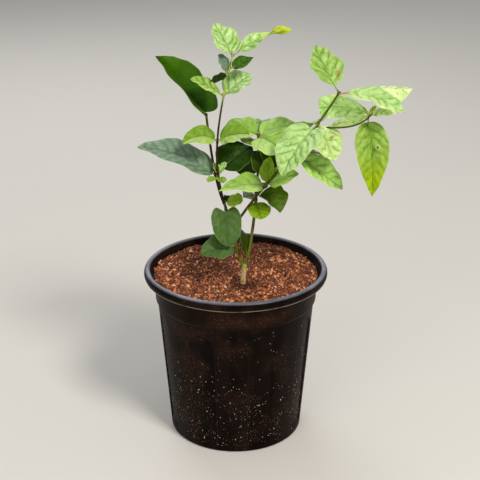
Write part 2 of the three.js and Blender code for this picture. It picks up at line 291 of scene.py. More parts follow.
def bump(tree, shader, height, distance, strength=1.0):
    values = {"Height": height, "Distance": distance, "Strength": strength}
    feed(tree, shader.inputs["Normal"], addNode(tree, "ShaderNodeBump", {}, values).outputs[0])


# Camera

cameraSetup = {"place": (3.5, -871.6, 517.6), "lookDown": 22, "lens": 86.9, "sensor": 36}


def makeCamera():
    data = bpy.data.cameras.new("viewCamera")
    data.sensor_width = cameraSetup["sensor"]
    data.lens = cameraSetup["lens"]
    camera = newObject("viewCamera", data)
    camera.location = [part * mm for part in cameraSetup["place"]]
    camera.rotation_euler = (math.radians(90 - cameraSetup["lookDown"]), 0, 0)
    scene.camera = camera


makeCamera()
print("camera set")


# Pot

potSizes = {
    "height": 143, "foot": 55, "lip": 75, "inner": 69.3, "wall": 2.2, "floor": 3, "crease": 40,
    "shoulder": (64.1, 115.2), "collarFoot": (65.9, 116.7), "collarTop": (67, 135.8),
    "wallFoot": 3, "wallSpread": 0.1, "wallDrop": 2, "wallRows": 96, "roundSteps": 5,
    "flutes": 8, "fluteTurn": 19.5, "fluteDepth": 1.4, "fluteHalf": 10.3, "fluteEdge": 1.2,
    "fluteFoot": (5, 10), "fluteArch": (97, 107.5), "fluteColumns": (9, 12, 8),
    "drains": 6, "drainRadius": 4, "drainCircle": 36, "drainSides": 32, "drainOver": 1,
}


# A profile whose corners are rounded; each corner is radius, height and rounding
def roundedProfile(corners):
    points = []
    for i, (radius, height, rounding) in enumerate(corners):
        here = np.array([radius, height], float)
        if rounding == 0:
            points.append(here)
            continue
        before = np.array(corners[i - 1][:2]) - here
        after = np.array(corners[i + 1][:2]) - here
        start = here + before / np.linalg.norm(before) * rounding
        end = here + after / np.linalg.norm(after) * rounding
        for share in np.linspace(0, 1, potSizes["roundSteps"]):
            points.append(start * (1 - share) ** 2 + here * 2 * share * (1 - share) + end * share ** 2)
    return np.array(points)


# Columns lie closer together at the edges of each flute
def potAngles():
    half, edge = potSizes["fluteHalf"], potSizes["fluteEdge"]
    inside, slope, between = potSizes["fluteColumns"]
    sector = 180 / potSizes["flutes"]
    side = np.concatenate([
        np.linspace(0, half - 2 * edge, inside, endpoint=False),
        np.linspace(half - 2 * edge, half + 2 * edge, slope, endpoint=False),
        np.linspace(half + 2 * edge, sector, between, endpoint=False)])
    around = np.sort(np.concatenate([side, [sector], -side[:0:-1]]))
    turns = [around + potSizes["fluteTurn"] + sector * 2 * i for i in range(potSizes["flutes"])]
    return np.radians(np.concatenate(turns) - 90)


def eased(value, low, high):
    share = np.clip((value - low) / (high - low), 0, 1)
    return share * share * (3 - 2 * share)


def blended(first, second, share):
    return np.array(first) * (1 - share) + np.array(second) * share


# How far the wall is pressed in at an angle and height
def fluteInset(angle, height):
    sector = 360 / potSizes["flutes"]
    turned = np.degrees(angle) + 90 - potSizes["fluteTurn"] + sector / 2
    fromCentre = np.abs(turned % sector - sector / 2)
    low, high = potSizes["fluteArch"]
    arch = np.sqrt(1 - np.clip((height - low) / (high - low), 0, 1) ** 2)
    edge = potSizes["fluteEdge"]
    pressed = eased(potSizes["fluteHalf"] * arch - fromCentre, -edge / 2, edge) * (arch > 0)
    return potSizes["fluteDepth"] * pressed * eased(height, *potSizes["fluteFoot"])


def ringQuads(rings):
    rows, columns = rings.shape[:2]
    i, k = np.meshgrid(np.arange(rows - 1), np.arange(columns), indexing="ij")
    right = (k + 1) % columns
    lower, upper = i * columns, (i + 1) * columns
    return np.stack([lower + k, lower + right, upper + right, upper + k], -1).reshape(-1, 4).tolist()


# A skin over rings of points, closed by a fan at both ends
def ringSkin(name, rings):
    rows, columns = rings.shape[:2]
    under, over = rows * columns, rows * columns + 1
    last = (rows - 1) * columns
    fans = [(under, (k + 1) % columns, k) for k in range(columns)]
    fans += [(over, last + k, last + (k + 1) % columns) for k in range(columns)]
    poles = [rings[0].mean(0), rings[-1].mean(0)]
    points = np.concatenate([rings.reshape(-1, 3), poles])
    return newMesh(name, points * mm, faces=[*ringQuads(rings), *fans])


def revolved(profile, angles, inset=0):
    radius = profile[:, :1] - inset
    height = profile[:, 1:] + 0 * radius
    radius = radius + 0 * angles
    return np.stack([radius * np.cos(angles), radius * np.sin(angles), height + 0 * angles], -1)


# The pressed outer wall at shares of its height
def outerWall(share):
    shoulder, shoulderHeight = potSizes["shoulder"]
    low = np.array([potSizes["foot"] + potSizes["wallSpread"], potSizes["wallFoot"]])
    high = np.array([shoulder, shoulderHeight - potSizes["wallDrop"]])
    profile = low + (high - low) * share[:, None]
    angles = potAngles()
    return revolved(profile, angles, fluteInset(angles[None, :], profile[:, 1:]))


# The whole pot: its foot ring, the fluted wall, then collar, lip and the inside down to the floor
def potRings():
    sizes = potSizes
    foot, wall, top, lip = sizes["foot"], sizes["wall"], sizes["height"], sizes["lip"]
    shoulder, shoulderHeight = sizes["shoulder"]
    collarFoot, collarFootHeight = sizes["collarFoot"]
    collarTop, collarTopHeight = sizes["collarTop"]
    inner, floor = sizes["inner"], sizes["floor"]
    underside = roundedProfile([
        (foot / 3, 0.8, 0), (foot - 8, 0.8, 0.5), (foot - 7.4, 0, 0.5), (foot - 0.1, 0, 1.4),
        (foot + sizes["wallSpread"], sizes["wallFoot"], 0)])
    upper = roundedProfile([
        (shoulder, shoulderHeight - 1.6, 0), (shoulder + 0.1, shoulderHeight, 0.8),
        (collarFoot, collarFootHeight, 0.9), (collarTop - 0.1, collarTopHeight - 1.4, 0),
        (collarTop, collarTopHeight, 0.5), (lip - 0.9, collarTopHeight - 0.2, 0.4),
        (lip - 0.7, collarTopHeight + 0.9, 0.4), (lip, collarTopHeight + 1.9, 0.7),
        (lip - 0.2, top - 2.2, 1.2), (lip - 1.9, top, 1.3), (inner + 1.4, top, 1.2),
        (inner, top - 2.8, 1.4), (collarTop - wall, collarTopHeight - 3, 1.4),
        (collarFoot - wall, collarFootHeight, 0.8), (shoulder - wall, shoulderHeight - 2, 0.8),
        (foot - wall, floor, 1.5), (foot / 3, floor, 0)])
    angles = potAngles()
    outside = outerWall(np.linspace(0.01, 1, sizes["wallRows"]))
    return np.concatenate([revolved(underside, angles), outside, revolved(upper, angles)])


# Cutter with one round bar for each drain hole
def drainBars():
    sides = potSizes["drainSides"]
    turn = np.linspace(0, 2 * math.pi, sides, endpoint=False)
    points, faces = [], []
    for i in range(potSizes["drains"]):
        middle = 2 * math.pi * i / potSizes["drains"]
        x = potSizes["drainCircle"] * math.cos(middle) + potSizes["drainRadius"] * np.cos(turn)
        y = potSizes["drainCircle"] * math.sin(middle) + potSizes["drainRadius"] * np.sin(turn)
        first = len(points)
        for height in (-potSizes["drainOver"], potSizes["floor"] + potSizes["drainOver"]):
            points += [(*place, height) for place in zip(x, y)]
        faces.append([first + k for k in reversed(range(sides))])
        faces.append([first + sides + k for k in range(sides)])
        for k in range(sides):
            right = (k + 1) % sides
            faces.append([first + k, first + right, first + sides + right, first + sides + k])
    return newObject("drainBars", newMesh("drainBars", np.array(points) * mm, faces=faces))


def smoothed(mesh, crease):
    mesh.shade_smooth()
    mesh.set_sharp_from_angle(angle=math.radians(crease))


def makePot(material):
    pot = newObject("potShell", ringSkin("potShell", potRings()))
    bars = drainBars()
    cut = pot.modifiers.new("drains", "BOOLEAN")
    cut.operation = "DIFFERENCE"
    cut.solver = "MANIFOLD"
    cut.object = bars
    depsgraph = bpy.context.evaluated_depsgraph_get()
    pierced = bpy.data.meshes.new_from_object(pot.evaluated_get(depsgraph), depsgraph=depsgraph)
    pot.modifiers.remove(cut)
    pot.data = pierced
    bpy.data.objects.remove(bars)
    smoothed(pierced, potSizes["crease"])
    pierced.materials.clear()
    pierced.materials.append(material)
    settle(pot, "pot", "pot")
    return pot


plasticLook = {
    "body": tone(12, 6, 4), "sheen": tone(19, 11, 8), "dustAndBounceLight": tone(48, 28, 19), "grime": tone(150, 116, 88),
    "lip": tone(126, 132, 146), "edge": tone(176, 158, 142),
    "streak": 70.0, "streakLength": 0.12, "stain": 34.0, "grit": 1700.0, "relief": 0.15 * mm,
    "dustAndBounceLightRise": (30 * mm, 112 * mm), "crest": (141.2 * mm, 142.9 * mm),
    "collar": (112 * mm, 122 * mm, 135.5 * mm, 137.2 * mm),
    "edgeBand": (135.5 * mm, 135.8 * mm, 136.1 * mm, 136.4 * mm),
}


# 1 between the two middle heights, fading to 0 at the outer ones
def band(height, low, lowFull, highFull, high):
    return height.ease(low, lowFull) * height.ease(high, highFull)


# Black nursery plastic: streaked, dusty on its upper wall with painted bounce light in that dust, a painted
# sky highlight on the lip's crest, greyer at the lip's lower edge
def plasticSkin():
    look = plasticLook
    material, tree, shader = newMaterial("nurseryPlastic", {})
    place = objectPlace(tree)
    height = Field(tree, addNode(tree, "ShaderNodeSeparateXYZ", {}, {"Vector": place}).outputs["Z"])
    streaks = noiseField(tree, objectPlace(tree, (1, 1, look["streakLength"])), look["streak"], 4.0)
    stains = noiseField(tree, place, look["stain"], 5.0)
    grit = noiseField(tree, place, look["grit"], 1.0)
    crest = height.ease(*look["crest"])
    colour = mixed(tree, streaks.ease(0.35, 0.7), look["body"], look["sheen"])
    colour = layered(tree, colour, [
        # partly real dust, partly painted light: the brown over the upper wall and collar also stands in for
        # warm light bounced onto the wall
        (stains.ease(0.42, 0.75) * (height.ease(*look["dustAndBounceLightRise"]) * 0.6 + 0.12), look["dustAndBounceLight"]),
        (band(height, *look["collar"]) * stains * 0.4, look["dustAndBounceLight"]),
        (grit.ease(0.66, 0.74) * stains.ease(0.45, 0.6) * 0.6, look["grime"]),
        # painted highlight: the lip's crest is painted blue-grey in patches, standing in for the sky's
        # reflection
        (crest * (stains.ease(0.35, 0.65) * 0.6 + 0.4), look["lip"]),
        (crest * grit.ease(0.6, 0.7) * 0.5, look["grime"]),
        (band(height, *look["edgeBand"]) * streaks.ease(0.2, 0.55) * 0.7, look["edge"]),
    ])
    feed(tree, shader.inputs["Base Color"], colour)
    feed(tree, shader.inputs["Specular IOR Level"], crest * 0.5 + streaks * 0.06 + 0.01)
    feed(tree, shader.inputs["Roughness"], stains * 0.3 + streaks * 0.15 + 0.2)
    bump(tree, shader, grit * 0.6 + streaks, look["relief"], 0.5)
    return material


pot = makePot(plasticSkin())
print("pot made:", len(pot.data.polygons), "faces")


# Scattered crumbs and grains

hullSpread = {"reach": (0.75, 1.05), "width": (0.7, 1)}


# Angular shapes that crumbs and grains are made from, each a hull of a few seeded points
def hullShapes(name, count, corners, seed, flatten):
    draw = np.random.default_rng(seed)
    shapes = bpy.data.collections.new(name)
    for i in range(count):
        corner = draw.normal(size=(corners, 3))
        corner /= np.linalg.norm(corner, axis=1)[:, None]
        reach = draw.uniform(*hullSpread["reach"], (corners, 1))
        corner *= reach * np.array([1, draw.uniform(*hullSpread["width"]), flatten])
        form = bmesh.new()
        for place in corner:
            form.verts.new(place)
        bmesh.ops.convex_hull(form, input=form.verts)
        loose = [vert for vert in form.verts if not vert.link_faces]
        bmesh.ops.delete(form, geom=loose, context="VERTS")
        bmesh.ops.recalc_face_normals(form, faces=form.faces)
        mesh = bpy.data.meshes.new(f"{name}{i}")
        form.to_mesh(mesh)
        form.free()
        shapes.objects.link(bpy.data.objects.new(f"{name}{i}", mesh))
    return shapes


def dropShapes(shapes):
    for shape in list(shapes.objects):
        bpy.data.meshes.remove(shape.data)
    bpy.data.collections.remove(shapes)


scatterRule = {"sizePower": 2.5, "fullTurn": (6.283, 6.283, 6.283), "turnSeed": 7, "shadeSeed": 11}


# Scatters shapes over a surface; its points carry amount, the share of full density there
def scatterTree():
    rule = scatterRule
    sizes = {"Spacing": 0.0014, "Density": 1e6, "Smallest": 0.001, "Largest": 0.002, "Sink": 0.3, "Seed": 1}
    tree, given, result = newTree("scatterOnSurface", sizes, ("Collection",))
    spread = addNode(tree, "GeometryNodeDistributePointsOnFaces", {"distribute_method": "POISSON"}, {
        "Mesh": given["Geometry"], "Distance Min": given["Spacing"], "Density Max": given["Density"],
        "Density Factor": named(tree, "amount"), "Seed": given["Seed"]})
    share = Field(tree, randomValue(tree, given["Seed"])) ** rule["sizePower"]  # mostly small ones
    smallest = Field(tree, given["Smallest"])
    size = smallest + (Field(tree, given["Largest"]) - smallest) * share
    turn = randomValue(tree, rule["turnSeed"], "FLOAT_VECTOR", {"Min": (0, 0, 0), "Max": rule["fullTurn"]})
    sunk = scaled(tree, spread.outputs["Normal"], size * Field(tree, given["Sink"]) * -1)
    points = step(tree, "SetPosition", {"Geometry": spread.outputs["Points"], "Offset": sunk})
    shapes = step(tree, "CollectionInfo", {
        "Collection": given["Collection"], "Separate Children": True, "Reset Children": True})
    placed = step(tree, "InstanceOnPoints", {
        "Points": points, "Instance": shapes, "Pick Instance": True, "Rotation": turn,
        "Scale": combined(tree, size, size, size)})
    shaded = savedAs(tree, placed, "shade", randomValue(tree, rule["shadeSeed"]), domain="INSTANCE")
    return finishTree(tree, shaded, given, result)


scatter = scatterTree()


# Potting mix

mixSizes = {
    "top": [(0, 134.5), (32, 134.5), (50.6, 136.7), (63.7, 137.8), (66.2, 137.0)],  # radius and height
    "side": [(52, 3.3), (61.4, 116.5), (63.2, 118), (64.2, 132.8)],
    "rings": 64, "columns": 120, "innermost": 0.5, "crease": 60,
    "lumps": 2.0, "lumpScale": 0.2, "grain": 0.5, "grainScale": 0.75, "noiseSlice": 3.7,
}


def mixHeight(radius):
    reach, height = zip(*mixSizes["top"])
    return np.interp(radius, reach, height)


# The top's own lumps, two sizes of seeded noise
def mixLumps(x, y):
    place = [Vector((float(a), float(b), mixSizes["noiseSlice"])) for a, b in zip(np.ravel(x), np.ravel(y))]
    broad = np.array([noise.noise(p * mixSizes["lumpScale"]) for p in place])
    fine = np.array([noise.noise(p * mixSizes["grainScale"]) for p in place])
    return (broad * mixSizes["lumps"] + fine * mixSizes["grain"]).reshape(np.shape(x))


def makeMix(material):
    angles = np.linspace(0, 2 * math.pi, mixSizes["columns"], endpoint=False)
    side = revolved(np.array(mixSizes["side"], float), angles)
    edge = mixSizes["top"][-1][0]
    radius = np.linspace(edge, mixSizes["innermost"], mixSizes["rings"])
    top = revolved(np.stack([radius, mixHeight(radius)], -1), angles)
    top[..., 2] += mixLumps(top[..., 0], top[..., 1])
    bed = newObject("mixBed", ringSkin("mixBed", np.concatenate([side, top])))
    smoothed(bed.data, mixSizes["crease"])
    bed.data.materials.append(material)
    settle(bed, "potting_mix", "potting_mix")
    return top


crumbShape = {"count": 9, "corners": 9, "seed": 5, "flatten": 0.6}
crumbSizes = {
    "coarse": {
        "Spacing": 2.4 * mm, "Density": 1e6, "Smallest": 1.1 * mm, "Largest": 3.4 * mm,
        "Sink": 0.2, "Seed": 3},
    "fine": {
        "Spacing": 1.5 * mm, "Density": 1e6, "Smallest": 0.4 * mm, "Largest": 0.95 * mm,
        "Sink": 0.1, "Seed": 8},
}


def makeCrumbs(top, material):
    even = np.ones(top.shape[0] * top.shape[1])
    shapes = hullShapes("crumb", **crumbShape)
    for size, sizes in crumbSizes.items():
        surface = newMesh(size, top.reshape(-1, 3) * mm, faces=ringQuads(top), attributes={"amount": even})
        values = {**sizes, "Collection": shapes, "Material": material}
        crumbs = grow(f"{size}Crumbs", surface, scatter, values)
        settle(crumbs, "potting_mix", "potting_mix")
        print(size, "crumbs:", len(crumbs.data.polygons), "faces")
    dropShapes(shapes)


def ramp(tree, factor, stops):
    node = addNode(tree, "ShaderNodeValToRGB", {}, {"Fac": factor})
    points = node.color_ramp.elements
    while len(points) < len(stops):
        points.new(0.5)
    for point, (place, colour) in zip(points, stops):
        point.position = place
        point.color = colour
    return node.outputs["Color"]


mixLook = {
    "tones": [
        (0.0, tone(46, 23, 13)), (0.2, tone(138, 78, 48)), (0.55, tone(194, 118, 77)),
        (0.9, tone(230, 156, 108)), (0.97, tone(226, 166, 124)), (0.995, tone(232, 196, 162)),
        (1.0, tone(240, 228, 212))],
    "speckle": 900.0, "speck": tone(72, 38, 24), "speckShare": 0.35, "bedNoise": 420.0, "bedPaintedShadow": 0.2,
    "wet": tone(92, 62, 48), "wetShare": 0.75, "wetCentre": (6 * mm, -18 * mm, 135.5 * mm),
    "wetReach": (22 * mm, 4 * mm), "relief": 0.3 * mm,
}


# Loamy crumbs, each of its own shade, darker where the mix is moist round the stem; the bed under the crumbs
# keeps to the dark end of the tones as painted shadow between them
def mixSkin(name, perCrumb):
    look = mixLook
    material, tree, shader = newMaterial(name, {"Specular IOR Level": 0.2})
    place = objectPlace(tree)
    speckle = noiseField(tree, place, look["speckle"], 3.0)
    if perCrumb:
        shade = attribute(tree, "shade")
    else:
        # painted shadow: the bed keeps to the darkest tones, standing in for the shade in the gaps between
        # crumbs
        shade = noiseField(tree, place, look["bedNoise"], 3.0).ease(0.2, 0.9) * look["bedPaintedShadow"]
    fromStem = addNode(tree, "ShaderNodeVectorMath", {"operation": "DISTANCE"})
    feed(tree, fromStem.inputs[0], place)
    feed(tree, fromStem.inputs[1], look["wetCentre"])
    wet = Field(tree, fromStem.outputs["Value"]).ease(*look["wetReach"])
    colour = layered(tree, ramp(tree, shade, look["tones"]), [
        (speckle.ease(0.4, 0.8) * look["speckShare"], look["speck"], "MULTIPLY"),
        (wet * look["wetShare"], look["wet"], "MULTIPLY"),
    ])
    feed(tree, shader.inputs["Base Color"], colour)
    feed(tree, shader.inputs["Roughness"], speckle * 0.2 + 0.75)
    bump(tree, shader, speckle, look["relief"])
    return material


mixTop = makeMix(mixSkin("shadowedMoistMix", False))
makeCrumbs(mixTop, mixSkin("loamCrumbs", True))
print("potting mix made")


# Grains splashed onto the pot's wall, more of them towards its foot

grainLook = {
    "sizes": {
        "Spacing": 1.0 * mm, "Density": 1.9e5, "Smallest": 0.3 * mm, "Largest": 0.95 * mm,
        "Sink": 0.3, "Seed": 21},
    "shape": {"count": 5, "corners": 9, "seed": 6, "flatten": 0.6},
    "rows": 60, "wallShare": (0.02, 0.98), "fewHeight": 100, "manyHeight": 22, "fewest": 0.07,
    "patchScale": 0.045, "patchMean": 0.6, "patchSwing": 0.9, "patchLeast": 0.1,
    "tones": [
        (0.0, tone(110, 74, 50)), (0.45, tone(186, 152, 120)), (0.75, tone(230, 216, 196)),
        (1.0, tone(246, 242, 234))],
    "flecks": 1500.0, "fleck": tone(120, 90, 66), "fleckShare": 0.3,
}


def grainSkin():
    look = grainLook
    material, tree, shader = newMaterial("wallGrains", {"Specular IOR Level": 0.2})
    flecks = noiseField(tree, objectPlace(tree), look["flecks"], 2.0)
    colour = ramp(tree, attribute(tree, "shade"), look["tones"])
    colour = mixed(tree, flecks * look["fleckShare"], colour, look["fleck"], "MULTIPLY")
    feed(tree, shader.inputs["Base Color"], colour)
    feed(tree, shader.inputs["Roughness"], flecks * 0.2 + 0.65)
    return material


def makeGrains(material):
    look = grainLook
    wall = outerWall(np.linspace(*look["wallShare"], look["rows"]))
    places = wall.reshape(-1, 3)
    patches = np.array([noise.noise(Vector(place) * look["patchScale"]) for place in places.tolist()])
    lower = eased(places[:, 2], look["fewHeight"], look["manyHeight"])
    amount = look["fewest"] + (1 - look["fewest"]) * lower
    amount *= np.clip(look["patchMean"] + patches * look["patchSwing"], look["patchLeast"], 1)
    surface = newMesh("wallSurface", places * mm, faces=ringQuads(wall), attributes={"amount": amount})
    shapes = hullShapes("grain", **look["shape"])
    values = {**look["sizes"], "Collection": shapes, "Material": material}
    grains = grow("wallGrains", surface, scatter, values)
    settle(grains, "pot", "pot")
    dropShapes(shapes)
    print("grains on the wall:", len(grains.data.polygons), "faces")


makeGrains(grainSkin())


# Limbs: four Bezier points each, and the radius at foot and tip. Flare widens the foot, swell the tip,
# and tipTone is where along the limb a leaf tone begins and is full.

limbs = {
    "trunk": {
        "points": [(6, -18, 135.2), (6, -18, 140), (6.6, -17.2, 145), (7, -16.4, 149.5)],
        "radii": (2.1, 2.0), "flare": 0.2, "swell": 0.1, "bark": "trunk_bark",
        "tipTone": (0.45, 1.0, "stalk")},
    "left_stem": {
        "points": [(6.2, -16.6, 147.5), (1.5, -14.5, 162), (-3.5, -10, 179), (-8, -7.2, 196.5)],
        "radii": (1.4, 1.2), "bark": "green_bark"},
    "right_stem": {
        "points": [(7.8, -16.2, 147.5), (13, -13, 170), (19, 0, 208), (18, 14, 250)],
        "radii": (1.4, 0.9), "bark": "green_bark"},
    "tall_bough": {
        "points": [(-8, -7.2, 196.5), (-20, -7, 234), (-14, -6, 268), (-1.9, -4, 319.6)],
        "radii": (1.1, 0.55), "bark": "brown_bark", "tipTone": (0.68, 0.8, "shoot")},
    "outer_bough": {
        "points": [(-8.6, -7, 198.5), (-15.5, -4, 212), (-19.5, 1, 240), (-23, 6, 269)],
        "radii": (1.1, 0.9), "bark": "brown_bark"},
    "leaning_bough": {
        "points": [(-3.2, -10.2, 178), (22, -14.5, 222), (54, -20, 250), (77.5, -28, 295.5)],
        "radii": (1.1, 0.85), "bark": "olive_bark"},
    "side_bough": {
        "points": [(60.5, -23, 267.5), (76, -29, 268), (94, -33, 268), (101.5, -35, 281)],
        "radii": (0.7, 0.55), "bark": "olive_bark"},
}


def limbPoint(name, t):
    a, b, c, d = (np.array(point, float) for point in limbs[name]["points"])
    t = np.asarray(t, float)[..., None]
    return a * (1 - t) ** 3 + 3 * b * t * (1 - t) ** 2 + 3 * c * t * t * (1 - t) + d * t ** 3


def limbLength(name):
    points = limbPoint(name, np.linspace(0, 1, 201))
    return float(np.linalg.norm(np.diff(points, axis=0), axis=1).sum())


# Leaves. Angles are in degrees. Heading runs from +X towards +Y, rise is the slope from base to tip,
# droop is how far it bows over, roll turns the blade about its midrib, twist winds it from base to tip,
# fold raises its halves, root and tip shape its outline, and lobe draws the base back beside the stalk.
# These are the rule of the solids; what follows is finer: bulge arches each half, quilt swells the blade
# between its veins, wave ruffles its margin, point draws out its tip, plain fades its veins, paleHalf
# (1 or -1) lightens one half, and end is the tone of its outer part. Patch is a brown patch and hole a
# small hole drawn as a dark mark: place along the blade, place across it, and radius.

usualLeaf = {
    "stalk": 3, "root": 0.5, "tip": 0.8, "lobe": 0, "twist": 0, "at": 0, "bulge": 0.12, "wave": 0.9,
    "waves": 2.2, "point": 0.001, "plain": 0, "paleHalf": 0, "stalkTone": "stalk", "end": None,
    "patch": (0, 0, 0), "hole": (0, 0, 0),
}
usualQuilt = 1.45
smoothQuilt = 0.22
smoothTones = ("deep", "dark", "blue", "grey", "brown", "mid", "silver", "olive", "bottle", "fern")
plainTones = ("lime", "moss")  # where the veins fade out
faded = 0.65
soft = {"quilt": 0.6, "plain": faded}  # young blades with faint veins


def leaf(heading, rise, long, wide, droop, roll, fold, shade, **more):
    row = {"heading": heading, "rise": rise, "long": long, "wide": wide, "droop": droop, "roll": roll,
           "fold": fold, "shade": shade}
    quilt = smoothQuilt if shade in smoothTones else usualQuilt
    return {**usualLeaf, "quilt": quilt, **row, **more}


leafTones = {
    "pale": tone(160, 198, 112), "cool": tone(150, 188, 110), "cream": tone(190, 214, 130),
    "ivory": tone(218, 236, 162), "glow": tone(230, 255, 160), "bright": tone(200, 240, 140),
    "fresh": tone(168, 210, 92), "light": tone(138, 176, 70), "yellow": tone(130, 165, 46),
    "grass": tone(114, 150, 38), "shoot": tone(164, 190, 72), "lime": tone(200, 214, 2),
    "moss": tone(150, 176, 2), "olive": tone(130, 162, 8), "mid": tone(112, 142, 14),
    "fern": tone(86, 114, 8), "bottle": tone(54, 92, 18), "deep": tone(58, 98, 3),
    "dark": tone(34, 62, 2), "brown": tone(50, 66, 8), "grey": tone(72, 100, 46),
    "blue": tone(104, 128, 110), "silver": tone(166, 180, 160),
    "stalk": tone(128, 150, 52), "amber": tone(196, 140, 48), "russet": tone(112, 66, 32),
}

